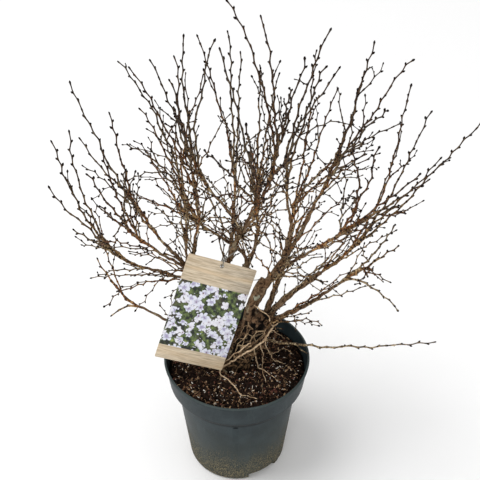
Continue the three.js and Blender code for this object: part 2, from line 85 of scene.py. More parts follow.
# Trunk and boughs, by the rule of the part's source
HEART = np.array((10, 18, 230))
TRUNK_FOOT = np.array((3, 5, 188.35))
TRUNK_LIFT = 30
RIGHT_CROTCH = np.array((42, 12, 278))
LEFT_CROTCH = np.array((-14, 38, 262))
LEFT_STEM_FROM = 0.3
TRUNK_RADII = (18.5, 16)
LEFT_STEM_RADII = (14, 9)
FLARE = {"radius": 3, "share": 0.4, "lobes": 5, "depth": 0.12}
ARM_SHARE = 0.22
ARM_SWELL = 2.5
BEND = 0.35
MAIN_RADII = (6, 3.6)
MAIN_BOUGHS = {
    "bough_right_inner": {"from": ("trunk_right", 0.6), "leaves": (120, 82), "tip": (13, 68, 160),
                          "radii": (7.6, 4.6)},
    "bough_right_outer": {"from": ("trunk_right", 1), "tip": (13, 42, 165), "radii": (6.2, 3.6)},
    "bough_low_right": {"from": ("trunk_right", 0.85), "leaves": (-8, 24), "tip": (-4, 40, 182),
                        "radii": (4.4, 2.8)},
    "bough_back_right": {"from": ("trunk_right", 0.9), "tip": (54, 46, 185), "radii": (5.6, 3)},
    "bough_centre": {"from": ("trunk_left", 1), "tip": (104, 79, 170)},
    "bough_left": {"from": ("trunk_left", 0.9), "tip": (164, 55, 140)},
    "bough_back": {"from": ("trunk_left", 0.95), "tip": (80, 55, 125)},
    "bough_low_left": {"from": ("trunk_right", 0.25), "leaves": (172, 20), "tip": (-177, 25, 175),
                       "radii": (2.7, 1.9)},
}
UPPER_RADII = (3.1, 2.2)
UPPER_BOUGHS = {
    "bough_right_upper": {"from": ("bough_right_inner", 1), "tip": (15, 66, 260), "radii": (3.8, 2.6)},
    "bough_right_middle": {"from": ("bough_right_inner", 0.97), "tip": (2, 77, 265)},
    "bough_right_front": {"from": ("bough_right_inner", 0.6), "tip": (-12, 62, 215)},
    "bough_centre_left": {"from": ("bough_centre", 1), "tip": (132, 76, 245)},
    "bough_centre_right": {"from": ("bough_centre", 0.97), "tip": (35, 82, 265)},
    "bough_centre_back": {"from": ("bough_centre", 0.75), "tip": (99, 65, 220)},
    "bough_front": {"from": ("bough_centre", 0.88), "tip": (-64, 85, 240)},
    "bough_left_back": {"from": ("bough_left", 1), "tip": (144, 59, 205)},
    "bough_left_upper": {"from": ("bough_left", 0.97), "tip": (172, 56, 210)},
    "bough_left_inner": {"from": ("bough_left", 0.8), "tip": (158, 68, 200)},
    "bough_left_front": {"from": ("bough_left", 0.55), "tip": (-175, 55, 225)},
    "bough_left_low": {"from": ("bough_left", 0.4), "tip": (179, 44, 200)},
    "bough_back_middle": {"from": ("bough_back", 1), "tip": (76, 58, 180)},
    "bough_back_left": {"from": ("bough_back", 0.9), "tip": (118, 53, 175)},
}

# Twig masses: the first shoot is the stem, and the others fork from it. A mass goes on from the tip of
# the bough of its name, unless it says where it comes from.
MASSES = {
    "twigs_right_upper": {"shoots": [(14, 70, 505), (1, 66, 515), (-19, 67, 470), (28, 65, 450)]},
    "twigs_right_middle": {"shoots": [(-10, 79, 525), (-32, 77, 500), (11, 75, 465)]},
    "twigs_right_front": {"shoots": [(-22, 57, 430), (-35, 65, 450), (-11, 53, 405),
                                     (-48, 67, 465), (-31, 56, 400)]},
    "twigs_right_outer": {"shoots": [(9, 56, 455), (0, 51, 490), (16, 60, 465), (14, 44, 410)]},
    "twigs_low_right": {"shoots": [(-13, 45, 305), (-21, 52, 345), (-4, 17, 245), (-21, 45, 270)]},
    "twigs_centre_left": {"shoots": [(127, 74, 475), (141, 75, 455), (115, 79, 470)]},
    "twigs_centre_right": {"shoots": [(64, 84, 510), (115, 85, 530), (-6, 81, 480), (-52, 79, 475)]},
    "twigs_centre_back": {"shoots": [(98, 72, 470), (110, 65, 465), (91, 67, 440)]},
    "twigs_front": {"shoots": [(-90, 74, 465), (-107, 70, 455), (-72, 69, 465), (-120, 84, 505),
                               (-84, 65, 455)]},
    "twigs_left_inner": {"shoots": [(160, 70, 460), (165, 75, 470), (179, 78, 450), (-158, 76, 415)]},
    "twigs_left_back": {"shoots": [(149, 65, 465), (165, 63, 365), (134, 55, 390)]},
    "twigs_left_upper": {"shoots": [(174, 62, 480), (177, 66, 430), (165, 54, 400)]},
    "twigs_left_front": {"shoots": [(-158, 59, 410), (-168, 63, 405), (-153, 65, 395),
                                    (-152, 57, 375)]},
    "twigs_left_low": {"shoots": [(-174, 56, 445), (180, 58, 435), (-176, 48, 395),
                                  (-168, 46, 340), (-164, 48, 315)]},
    "twigs_low_left": {"shoots": [(179, 35, 265), (-172, 20, 210), (174, 26, 225)]},
    "twigs_back_middle": {"shoots": [(82, 61, 420), (76, 56, 415), (88, 39, 340)]},
    "twigs_back_right": {"shoots": [(54, 53, 415), (56, 66, 455), (45, 38, 355), (31, 48, 410)]},
    "twigs_back_left": {"shoots": [(117, 51, 375), (127, 40, 340), (105, 56, 415)]},
    "twigs_low_shoot": {"from": ("trunk_right", 0.7), "leaves": (-5, -24), "lengths": (26, 10),
                        "shoots": [(-2, 0, 300)]},
}
STEM_RADII = (2.2, 1)
SHOOT_RADII = (2, 1)
FIRST_FORK = 0.05
FORK_STEP = 0.09
TWIG_SPACING = 46
TWIG_START = 0.1
TWIG_END = 0.82
TWIG_LENGTHS = (92, 20)
TWIG_LENGTH_SPREAD = 0.35
TWIG_ANGLES = (24, 50)
TWIG_BEND = 0.5
TWIG_REACH = 0.9
TWIG_LIFT = 0.25
TWIG_PLACE = (0.2, 0.8)
TWIG_TRIES = (1, 0.6)
SPIRAL_STEP = 137.5
OWN_SPACE = 4.5
SPACE_SHARES = np.array((0.3, 0.5, 0.7, 0.85, 1))
LIMB_MARKS = {"trunk": 10, "bough": 16, "shoot": 24}

# Label
LABEL = {"width": 110, "height": 170, "berth": 9}
LABEL_CENTRE = np.array((-47, -1, 298))
LABEL_FACING = np.array((0.24, -0.92, 0.32))
LABEL_LEAN = -24
LABEL_HOLE = {"height": 78.0, "ring": (2.8, 3.4)}
# The bands' inner edges, as shares of the height from the middle
LABEL_BANDS = (0.26, -0.37)

# Studio, in metres
FLOOR_SIZE = 14
LIGHTS = {"key": {"place": (-4.8, 0.3, 12.0), "size": 8.0, "power": 940},
          "fill": {"place": (-0.6, -3.4, 1.4), "size": 2.4, "power": 36}}
LIGHT_TARGET = (0, 0, 0.35)
SKY_STRENGTH = 0.58


# Colours are written as six hexadecimal digits, as on a screen
def paint(digits):
    """The scene's own linear colour for a screen colour."""
    screen = [int(digits[i:i + 2], 16) / 255 for i in (0, 2, 4)]
    linear = [c / 12.92 if c < 0.04045 else ((c + 0.055) / 1.055) ** 2.4 for c in screen]
    return (*linear, 1)


# Places and curves
def unit(vector):
    """A direction, or rows of them, of length 1."""
    return vector / np.linalg.norm(vector, axis=-1, keepdims=True)


def polar(turn, rise, reach=1.0):
    """A direction or an offset with a turn, a rise and a length."""
    level = math.cos(math.radians(rise)) * reach
    return np.array((math.cos(math.radians(turn)) * level, math.sin(math.radians(turn)) * level,
                     math.sin(math.radians(rise)) * reach))


def turned_about(vector, axis, degrees):
    """A direction turned about an axis by the right-hand rule."""
    angle = math.radians(degrees)
    return (vector * math.cos(angle) + np.cross(axis, vector) * math.sin(angle)
            + axis * np.dot(axis, vector) * (1 - math.cos(angle)))


def side_of(heading):
    """A direction square to a heading, and the same one all along a limb's headings."""
    return unit(np.cross(heading, np.eye(3)[np.argmin(abs(np.atleast_2d(heading).mean(axis=0)))]))


def even_turns(count):
    """Turns in radians, spread evenly round a circle."""
    return np.arange(count) * 2 * math.pi / count


def chance(low, high, *keys):
    """The same number between low and high each time for the same whole-number keys."""
    mixed = 2166136261
    for key in keys:
        mixed = (mixed ^ key) * 16777619 & 0xFFFFFFFF
        mixed = (mixed ^ (mixed >> 15)) * 2246822519 & 0xFFFFFFFF
    mixed ^= mixed >> 13
    return low + (high - low) * mixed / 4294967296


class Bow:
    """A limb's curve, from its start past its control point to its tip."""

    STEPS = 60

    def __init__(self, start, control, tip):
        self.start, self.control, self.tip = start, control, tip

    def points(self, shares):
        t = np.asarray(shares, float)[:, None]
        return (1 - t) ** 2 * self.start + 2 * t * (1 - t) * self.control + t ** 2 * self.tip

    def point(self, share):
        return self.points([share])[0]

    def tangent(self, share):
        return unit((1 - share) * (self.control - self.start) + share * (self.tip - self.control))

    def length(self):
        return np.linalg.norm(np.diff(self.points(np.linspace(0, 1, self.STEPS)), axis=0), axis=1).sum()

    def part(self, low, high):
        """The same curve between two shares of it."""
        def blend(s, t):
            return ((1 - s) * (1 - t) * self.start + ((1 - s) * t + s * (1 - t)) * self.control
                    + s * t * self.tip)
        return Bow(blend(low, low), blend(low, high), blend(high, high))


def smooth_path(points, steps=8):
    """A smooth path through given points."""
    points = np.array(points, float)
    whole = np.concatenate((2 * points[:1] - points[1:2], points, 2 * points[-1:] - points[-2:-1]))
    path = []
    for a, b, c, d in zip(whole, whole[1:], whole[2:], whole[3:]):
        for t in np.arange(steps) / steps:
            path.append(0.5 * (2 * b + (c - a) * t + (2 * a - 5 * b + 4 * c - d) * t ** 2
                               + (3 * b - a - 3 * c + d) * t ** 3))
    return np.array([*path, points[-1]])


def branch(parent, at, tip, leaves=None):
    """A curve that leaves along its parent, or in a given direction, and bends to its tip."""
    start = parent.point(at)
    direction = polar(*leaves) if leaves else parent.tangent(at)
    return Bow(start, start + direction * np.linalg.norm(tip - start) * BEND, tip)


def grow_limbs():
    """Every limb's curve and end radii, by the name of the node it belongs to."""
    up = np.array((0, 0, 1))
    right = Bow(TRUNK_FOOT, TRUNK_FOOT + up * TRUNK_LIFT, RIGHT_CROTCH)
    limbs = {"trunk_right": (right, TRUNK_RADII),
             "trunk_left": (branch(right, LEFT_STEM_FROM, LEFT_CROTCH), LEFT_STEM_RADII)}
    for boughs, radii in ((MAIN_BOUGHS, MAIN_RADII), (UPPER_BOUGHS, UPPER_RADII)):
        for name, bough in boughs.items():
            parent, at = bough["from"]
            curve = branch(limbs[parent][0], at, HEART + polar(*bough["tip"]), bough.get("leaves"))
            limbs[name] = (curve, bough.get("radii", radii))
    return limbs


def mass_foot(name):
    """The limb that a mass goes on from, and the share of it where the mass starts."""
    return MASSES[name].get("from", (name.replace("twigs", "bough"), 1))


def grow_shoots(limbs):
    """The shoots of each mass, its stem first."""
    shoots = {}
    for name, mass in MASSES.items():
        parent, at = mass_foot(name)
        tips = [HEART + polar(*tip) for tip in mass["shoots"]]
        stem = branch(limbs[parent][0], at, tips[0], mass.get("leaves"))
        forks = [branch(stem, FIRST_FORK + FORK_STEP * i, tip) for i, tip in enumerate(tips[1:])]
        shoots[name] = [stem, *forks]
    return shoots


# The label's own frame: across along its width, up its height, and out of its face
label_out = unit(LABEL_FACING)
label_across = turned_about(unit(np.cross((0, 0, 1), label_out)), label_out, LABEL_LEAN)
label_up = np.cross(label_out, label_across)


def over_label(local, berth):
    """Which points lie over the label or within a berth round it, as seen square to it."""
    return ((abs(local @ label_across) <= LABEL["width"] / 2 + berth)
            & (abs(local @ label_up) <= LABEL["height"] / 2 + berth))


def hides_label(points):
    """Which points lie in front of the label's face or go through it."""
    local = np.asarray(points) - LABEL_CENTRE
    return over_label(local, LABEL["berth"]) & (local @ label_out > -LABEL["berth"])


class OwnSpace:
    """Points along every limb, for the rule that a side twig stays nearest its own mass."""

    def __init__(self, limbs, shoots):
        self.owners, points, radii = [], [], []

        def mark(owner, curve, ends, count):
            """Marks a curve's points as an owner's."""
            shares = np.linspace(0, 1, count + 1)
            self.owners.extend([owner] * len(shares))
            points.append(curve.points(shares))
            radii.append(ends[0] + (ends[1] - ends[0]) * shares)

        for name, (curve, ends) in limbs.items():
            on_trunk = name.startswith("trunk")
            low = ARM_SHARE if name in MAIN_BOUGHS else 0
            if low:
                mark("trunk", curve.part(0, low), ends, LIMB_MARKS["trunk"])
            mark("trunk" if on_trunk else name, curve.part(low, 1), ends,
                 LIMB_MARKS["trunk" if on_trunk else "bough"])
        for name, curves in shoots.items():
            for i, curve in enumerate(curves):
                mark(name, curve, SHOOT_RADII if i else STEM_RADII, LIMB_MARKS["shoot"])
        self.owners = np.array(self.owners)
        self.points, self.radii = np.concatenate(points), np.concatenate(radii)

    def allows(self, curve, owner):
        """Whether a side twig stays nearest its own mass and clear of the label."""
        points = curve.points(SPACE_SHARES)
        gaps = np.linalg.norm(points[:, None] - self.points[None], axis=2) - self.radii
        own = gaps[:, self.owners == owner].min(axis=1)
        other = gaps[:, self.owners != owner].min(axis=1)
        return bool((own + OWN_SPACE < other).all() and not hides_label(points).any())


def twig_curve(shoot, at, turn, angle, length):
    """One side twig: it leaves its shoot at an angle and lifts a little towards the light."""
    along = shoot.tangent(at)
    across = unit(np.cross(along, (0, 0, 1)))
    direction = turned_about(turned_about(along, across, angle), along, turn)
    start = shoot.point(at)
    tip = start + direction * length * TWIG_REACH + np.array((0, 0, length * TWIG_LIFT))
    return Bow(start, start + direction * length * TWIG_BEND, tip)


def side_twigs(owner, shoot, space, lengths, *keys):
    """The source's side twigs of one shoot, as the share of it where each leaves, and its curve."""
    count = round(shoot.length() * (TWIG_END - TWIG_START) / TWIG_SPACING)
    twigs = []
    for i in range(count):
        at = TWIG_START + (TWIG_END - TWIG_START) * (i + chance(*TWIG_PLACE, *keys, i, 1)) / count
        turn = SPIRAL_STEP * i + chance(0, 360, *keys, 0, 0)
        angle = chance(*TWIG_ANGLES, *keys, i, 2)
        spread = chance(1 - TWIG_LENGTH_SPREAD, 1 + TWIG_LENGTH_SPREAD, *keys, i, 3)
        length = (lengths[0] + (lengths[1] - lengths[0]) * at) * spread
        for share in TWIG_TRIES:
            curve = twig_curve(shoot, at, turn, angle, length * share)
            if space.allows(curve, owner):
                twigs.append((at, curve))
                break
    return twigs


# Fine growth: how the scene carries the twigs further than the solids do. Lengths and offsets are in
# millimetres, and a pair of chances holds for a limb's foot and its tip.
GROWTH = {
    "bough": {"gap": 9, "zigzag": 1.0, "crook": 3, "chances": (0.22, 0.11), "lengths": (20, 95)},
    "shoot": {"gap": 12, "zigzag": 1.3, "crook": 5, "chances": (0.1, 0.0), "lengths": (5, 26)},
    "whip": {"gap": 11, "zigzag": 1.5, "crook": 6, "chances": (0.08, 0.03), "lengths": (5, 32)},
    "twig": {"gap": 9, "zigzag": 1.3, "crook": 5, "chances": (0.09, 0.03), "lengths": (4, 22)},
    "spur": {"gap": 7, "zigzag": 0.9, "crook": 2, "chances": (0, 0), "lengths": (4, 9)},
}
CROOK_WAVE = 45
CROOK_SEED = 7
STRAIGHT_JOINTS = 2
BUD_STEP = 152
SWELLING = 1.45
FOOT_SLIM = 0.85
SPUR = {"angles": (35, 75), "bend": (-40, 40), "lift": (-0.1, 0.4), "reach": 0.48, "tip": 0.5,
        "foot": 0.95, "foot_share": 0.8, "stout_length": 120}
FINE_RADII = (1.15, 0.6)
SIDES_KEPT = (0.3, 0.4)
BUD = {"length": 3.6, "width": 1.25, "lean": 32, "sizes": (0.75, 1.2), "stand": 0.6, "girth": 0.15}
BUD_AGES = {"shoot": (0.4, 1.25), "whip": (0.65, 1.1), "twig": (0.7, 1.05), "spur": (0.6, 0.85)}
SOIL_BERTH = 6
VIEW_BERTH = 3
TINTS = 3

# The last key of each kind of draw, which keeps it apart from the others
DRAW = {"trunk": 900, "bough": 901, "bough_tint": 902, "bough_spurs": 903, "shoot_tint": 904,
        "shoot": 905, "shoot_spurs": 906, "side": 907, "side_tint": 908, "side_spurs": 909,
        "side_kept": 910, "whip_reach": 950, "whip": 951, "whip_tint": 952, "whip_spurs": 953}

# Whips: fine twigs spread evenly through the crown, each from the limb that points its way best. The
# first kind is long and reaches out, the second crosses at all angles through the heart, and the third
# arches nearly level from one limb across the next.
WHIPS = (
    {"count": 120, "rises": (34, 88), "places": (0.5, 0.93), "lengths": (55, 200), "best": 120,
     "angle": 40, "level": 0, "foot": 1.25, "tip": 0.7},
    {"count": 46, "rises": (34, 86), "places": (0.16, 0.6), "lengths": (28, 120), "best": 62,
     "angle": 82, "level": 0, "foot": 1.05, "tip": 0.55},
    {"count": 56, "rises": (32, 68), "places": (0.5, 0.9), "lengths": (80, 190), "best": 130,
     "angle": 80, "level": 4, "foot": 1.05, "tip": 0.55},
)
# A whip leaves the first part of a limb. Turning away from the limb costs, and so does a crowded foot.
WHIPS_INSIDE = 0.96
GOLDEN_TURN = 137.508
CLOSE_TIPS = 3
OPEN_SKY = 17
FOOT_SHARE = 0.65
TURN_COST = 4
CROWD_COST = 0.25
CROWD_REACH = 14
LOW_TIP = 40


class Twig:
    """A limb's joints from foot to tip, with its radius and the way its bud points at each."""

    def __init__(self, kind, curve, radii, *keys, foot=None, tint=0):
        fine = np.linspace(0, 1, Bow.STEPS)
        spans = np.linalg.norm(np.diff(curve.points(fine), axis=0), axis=1)
        along = np.concatenate(([0], spans.cumsum()))
        growth = GROWTH[kind]
        count = max(2, round(along[-1] / growth["gap"]))
        self.kind, self.keys, self.tint, self.curve = kind, keys, tint, curve
        self.shares = np.interp(np.linspace(0, along[-1], count + 1), along, fine)
        steps = np.linspace(0, 1, count + 1)
        points = curve.points(self.shares)
        heading = unit(np.gradient(points, axis=0))
        side = side_of(heading)
        turns = np.radians(chance(0, 360, *keys, 7) + BUD_STEP * np.arange(count + 1))[:, None]
        self.outward = side * np.cos(turns) + np.cross(heading, side) * np.sin(turns)
        wander = [noise.noise_vector(Vector(p) / CROOK_WAVE + Vector((chance(0, 99, *keys), 0, 0)))
                  for p in points]
        bent = self.outward * growth["zigzag"] + np.array(wander) * growth["crook"]
        self.points = points + bent * np.minimum(1, steps * count / STRAIGHT_JOINTS)[:, None]
        if foot is not None:
            self.points += (foot - points[0]) * (1 - steps)[:, None]
        self.radii = radii[0] + (radii[1] - radii[0]) * steps
        self.heading = unit(np.gradient(self.points, axis=0))

    def place(self, share):
        """The place of the joint nearest to a share of the curve."""
        return self.points[np.argmin(abs(self.shares - share))]

    def laid_out(self, places):
        """Points, radii and shares of the curve at places counted in joints from the foot."""
        whole = np.arange(len(self.points))
        points = np.stack([np.interp(places, whole, self.points[:, axis]) for axis in range(3)], axis=1)
        return points, np.interp(places, whole, self.radii), np.interp(places, whole, self.shares)


def tint_of(*keys):
    """Which of the twigs' bark colours a limb has."""
    return int(chance(0, TINTS, *keys))


def crosses_view(points):
    """Which points lie between the label and the place that it is looked at from."""
    eye = np.array(CAMERA_PLACE, float)
    path = points - eye
    reach = ((LABEL_CENTRE - eye) @ label_out) / (path @ label_out)
    return (reach > 1) & over_label(eye + path * reach[:, None] - LABEL_CENTRE, VIEW_BERTH)


def is_clear(twig):
    """Whether a fine twig leaves the label's face free and stays above the soil and the rim."""
    covers = hides_label(twig.points) | crosses_view(twig.points)
    return not covers.any() and twig.points[:, 2].min() > POT_HEIGHT + SOIL_BERTH


def spur_from(parent, joint, kind, *keys):
    """A short crooked twig out of a joint of its parent."""
    low, high = GROWTH[parent.kind]["lengths"]
    length = low + (high - low) * chance(0, 1, *keys, 1) ** 2
    angle = math.radians(chance(*SPUR["angles"], *keys, 2))
    direction = parent.heading[joint] * math.cos(angle) + parent.outward[joint] * math.sin(angle)
    bent = turned_about(direction, parent.heading[joint], chance(*SPUR["bend"], *keys, 3))
    start = parent.points[joint]
    lift = np.array((0, 0, length * chance(*SPUR["lift"], *keys, 4)))
    tip = start + (direction + bent) * length * SPUR["reach"] + lift
    stout = SPUR["foot"] * (SPUR["foot_share"] + length / SPUR["stout_length"])
    foot = min(parent.radii[joint] * FOOT_SLIM, stout)
    curve = Bow(start, start + direction * length * 0.5, tip)
    return Twig(kind, curve, (foot, min(foot, SPUR["tip"])), *keys, foot=start, tint=parent.tint)


def spurs_of(parent, kind, *keys):
    """The spurs of one limb, fewer towards its tip, each with finer ones of its own."""
    spurs = []
    low, high = GROWTH[parent.kind]["chances"]
    count = len(parent.points) - 1
    for joint in range(1, count):
        if chance(0, 1, *keys, joint, 0) < low + (high - low) * joint / count:
            spur = spur_from(parent, joint, kind, *keys, joint)
            if is_clear(spur):
                spurs.append(spur)
                spurs += spurs_of(spur, "spur", *keys, joint, 5)
    return spurs


def grow_whips(kind, rule, limbs, tips):
    """Fine twigs of one kind towards points spread evenly through the space that the shoots reach."""
    low_joints = [limb.shares < FOOT_SHARE for limb in limbs]
    starts, headings, girths = (
        np.concatenate([getattr(limb, part)[low] for limb, low in zip(limbs, low_joints)])
        for part in ("points", "heading", "radii"))
    tips = np.array(tips) - HEART
    reaches, ways = np.linalg.norm(tips, axis=1), unit(tips)
    low, high = (math.sin(math.radians(rise)) for rise in rule["rises"])
    crowding = np.zeros(len(starts))
    whips = []
    for i in range(rule["count"]):
        rise = math.degrees(math.asin(low + (high - low) * (i + 0.5) / rule["count"]))
        way = polar(GOLDEN_TURN * i, rise)
        near = np.argsort(-(ways @ way))[:CLOSE_TIPS]
        if ways[near[0]] @ way < math.cos(math.radians(OPEN_SKY)):
            continue
        room = (np.where(way > 0, tips.max(axis=0), tips.min(axis=0)) / way).min() * WHIPS_INSIDE
        share = chance(*rule["places"], i, kind, DRAW["whip_reach"])
        target = HEART + way * min(room, reaches[near].mean() * share)
        path = target - starts
        length = np.linalg.norm(path, axis=1)
        fit = (headings * path).sum(axis=1) / length
        slope = abs(path[:, 2]) / length
        cost = (abs(length - rule["best"]) / rule["best"] + TURN_COST * (1 - fit) + rule["level"] * slope
                + CROWD_COST * crowding)
        shut = (length < rule["lengths"][0]) | (length > rule["lengths"][1])
        cost[shut | (fit < math.cos(math.radians(rule["angle"])))] = math.inf
        best = int(np.argmin(cost))
        if cost[best] < math.inf:
            start = starts[best]
            control = start + unit(headings[best] + path[best] / length[best]) * length[best] * 0.5
            foot = min(rule["foot"], girths[best] * FOOT_SLIM)
            whip = Twig("whip", Bow(start, control, target), (foot, min(foot, rule["tip"])),
                        i, kind, DRAW["whip"], foot=start, tint=tint_of(i, kind, DRAW["whip_tint"]))
            if is_clear(whip):
                crowding += np.exp(-(np.linalg.norm(starts - start, axis=1) / CROWD_REACH) ** 2)
                whips += [whip, *spurs_of(whip, "spur", i, kind, DRAW["whip_spurs"])]
    return whips


def grow_wood(limbs):
    """The trunk's stems and the boughs, each from the joint of its parent that it leaves."""
    wood = {name: Twig("bough", *limbs[name], index, DRAW["trunk"])
            for index, name in enumerate(limbs) if name.startswith("trunk")}
    for index, (name, bough) in enumerate((MAIN_BOUGHS | UPPER_BOUGHS).items()):
        parent, at = bough["from"]
        wood[name] = Twig("bough", *limbs[name], index, DRAW["bough"], foot=wood[parent].place(at),
                          tint=tint_of(index, DRAW["bough_tint"]))
    return wood


def grow_mass(index, name, curves, wood, space):
    """One mass: its shoots, some of their side twigs by the source's rule, and spurs on them."""
    parent, at = mass_foot(name)
    foot = wood[parent].place(at)
    twigs, stem = [], None
    for i, curve in enumerate(curves):
        if stem is not None:
            foot = stem.place(FIRST_FORK + FORK_STEP * (i - 1))
        shoot = Twig("shoot", curve, SHOOT_RADII if i else STEM_RADII, index, i, DRAW["shoot"],
                     foot=foot, tint=tint_of(index, i, DRAW["shoot_tint"]))
        stem = stem or shoot
        twigs.append(shoot)
        lengths = MASSES[name].get("lengths", TWIG_LENGTHS)
        for j, (share, twig) in enumerate(side_twigs(name, curve, space, lengths, index, i)):
            if chance(0, 1, index, i, j, DRAW["side_kept"]) < np.interp(share, (0, 1), SIDES_KEPT):
                side = Twig("twig", twig, FINE_RADII, index, i, j, DRAW["side"],
                            foot=shoot.place(share), tint=tint_of(i, j, DRAW["side_tint"]))
                twigs += [side, *spurs_of(side, "spur", index, i, j, DRAW["side_spurs"])]
        if "lengths" not in MASSES[name]:
            twigs += spurs_of(shoot, "spur", index, i, DRAW["shoot_spurs"])
    return twigs


def grow_crown():
    """All that grows: the limbs, and the twigs of every mass and bough."""
    limbs = grow_limbs()
    shoots = grow_shoots(limbs)
    space = OwnSpace(limbs, shoots)
    wood = grow_wood(limbs)
    twigs = []
    for index, name in enumerate([*MAIN_BOUGHS, *UPPER_BOUGHS]):
        twigs += spurs_of(wood[name], "twig", index, DRAW["bough_spurs"])
    for index, (name, curves) in enumerate(shoots.items()):
        twigs += grow_mass(index, name, curves, wood, space)
    shoots = [twig for twig in twigs if twig.kind == "shoot"]
    tips = [shoot.points[-1] for shoot in shoots if shoot.points[-1][2] > HEART[2] + LOW_TIP]
    for kind, rule in enumerate(WHIPS):
        twigs += grow_whips(kind, rule, [*wood.values(), *shoots], tips)
    return wood, twigs


# Meshes
def placed(name, data):
    """A new object in the scene for some data."""
    item = bpy.data.objects.new(name, data)
    bpy.context.scene.collection.objects.link(item)
    return item


class Gathering:
    """Gathers many small closed shapes, each given as its points and its faces, into one mesh."""

    def __init__(self):
        self.points, self.girths, self.corners, self.sizes, self.count = [], [], [], [], 0

    def add(self, points, *face_groups, girth=0.0):
        """Adds one shape, with its faces grouped by their number of corners."""
        self.girths.append(np.full(len(points), girth))
        for faces in face_groups:
            faces = np.asarray(faces)
            self.corners.append((faces + self.count).ravel())
            self.sizes.append(np.full(len(faces), faces.shape[1]))
        self.points.append(points)
        self.count += len(points)

    def build(self, name):
        """One piece of all that was gathered, with the girth of the limb at each point."""
        mesh = bpy.data.meshes.new(name)
        points, corners = np.concatenate(self.points) * MM, np.concatenate(self.corners)
        sizes = np.concatenate(self.sizes)
        mesh.vertices.add(len(points))
        mesh.vertices.foreach_set("co", points.astype(np.float32).ravel())
        mesh.loops.add(len(corners))
        mesh.loops.foreach_set("vertex_index", corners.astype(np.int32))
        mesh.polygons.add(len(sizes))
        mesh.polygons.foreach_set("loop_start", (np.cumsum(sizes) - sizes).astype(np.int32))
        mesh.update(calc_edges=True)
        mesh.validate()
        girths = np.concatenate(self.girths).astype(np.float32)
        mesh.attributes.new("girth", "FLOAT", "POINT").data.foreach_set("value", girths)
        mesh.shade_smooth()
        return placed(name, mesh)


def add_tube(gathering, points, radii, sides):
    """A round limb through its points, closed at both ends. Radii may differ round each ring."""
    heading = unit(np.gradient(points, axis=0))
    side, turns = side_of(heading), even_turns(sides)
    ring = (side[:, None] * np.cos(turns)[None, :, None]
            + np.cross(heading, side)[:, None] * np.sin(turns)[None, :, None])
    skin = points[:, None] + ring * np.reshape(radii, (len(points), -1, 1))
    first = (np.arange(len(points) - 1) * sides)[:, None]
    this = np.arange(sides)
    following = np.roll(this, -1)
    walls = np.stack((first + this, first + following, first + sides + following, first + sides + this),
                     axis=-1).reshape(-1, 4)
    foot, top = this[::-1][None], (this + (len(points) - 1) * sides)[None]
    girth = np.broadcast_to(np.reshape(radii, (len(points), -1)), (len(points), sides)).ravel()
    gathering.add(skin.reshape(-1, 3), walls, foot, top, girth=girth)


RING_PLACES = {"shoot": (0, 0.25, 0.7), "whip": (0, 0.25, 0.75), "twig": (0, 0.3, 0.75), "spur": (0, 0.4)}
TWIG_SLIM = {"shoot": 0.84, "whip": 0.93, "twig": 0.93, "spur": 1}
RING_SIDES = {"shoot": 8, "whip": 7, "twig": 7, "spur": 5}


def add_twig(gathering, twig):
    """A twig with a swelling at each joint, where it also turns a little."""
    places = RING_PLACES[twig.kind]
    joints = np.arange(len(twig.points) - 1)
    at = np.concatenate(((joints[:, None] + np.array(places)).ravel(), [len(joints)]))
    points, radii, _ = twig.laid_out(at)
    swell = np.where((at == np.round(at)) & (at > 0), SWELLING, 1)
    add_tube(gathering, points, radii * TWIG_SLIM[twig.kind] * swell, RING_SIDES[twig.kind])


BUD_SIDES = 6
BUD_RINGS = ((0, 0.72), (0.32, 1.0), (0.7, 0.66))


def bud_shape():
    """A pointed bud of unit length along +Z, with its points and its faces."""
    turns = even_turns(BUD_SIDES)
    rings = [np.stack((np.cos(turns) * r, np.sin(turns) * r, np.full(BUD_SIDES, h)), axis=1)
             for h, r in BUD_RINGS]
    this = np.arange(BUD_SIDES)
    following = np.roll(this, -1)
    ring = np.stack((this, following, following + BUD_SIDES, this + BUD_SIDES), axis=1)
    walls = np.concatenate([ring + BUD_SIDES * i for i in range(len(BUD_RINGS) - 1)])
    last = BUD_SIDES * (len(BUD_RINGS) - 1)
    tip = np.stack((this + last, following + last, np.full(BUD_SIDES, last + BUD_SIDES)), axis=1)
    return np.concatenate((*rings, [(0, 0, 1)])), walls, tip, this[::-1][None]


def add_buds(gathering, twig):
    """A bud at each joint of a twig, leaning forward, and one at its tip."""
    shape, *faces = bud_shape()
    lean = math.radians(BUD["lean"])
    for joint in range(1, len(twig.points)):
        at_tip = joint == len(twig.points) - 1
        age = np.interp(joint / (len(twig.points) - 1), (0, 1), BUD_AGES[twig.kind])
        size = chance(*BUD["sizes"], *twig.keys, joint, 8) * age
        away, heading = twig.outward[joint], twig.heading[joint]
        axis = heading if at_tip else heading * math.cos(lean) + away * math.sin(lean)
        side = side_of(axis)
        foot = twig.points[joint] + (0 if at_tip else away * twig.radii[joint] * BUD["stand"])
        width = BUD["width"] * size + twig.radii[joint] * BUD["girth"]
        turn = np.stack((side * width, np.cross(axis, side) * width, axis * BUD["length"] * size))
        gathering.add(foot + shape @ turn, *faces)


# Bark: the trunk and boughs as one skin with its relief, and a patch of lichen on the inner bough
LICHEN = {"place": (30.0, 15.0, 318.0), "reach": 5.5}
BARK_VOXEL = 1.25
BARK_SIDES = 14
BARK_RINGS = 3
BARK_SMOOTHING = {"factor": 0.5, "iterations": 3}
BARK_SINK = 4
BARK_STRETCH = 0.3
STREAK_STRETCH = 0.12
# The relief's heights in millimetres, where ridges and lumps also grow with the limb's radius
RELIEF = {"share": 0.07, "least": 0.1, "fold": 2.2, "fine": 0.14, "streak": 1.1, "lump": 0.1}
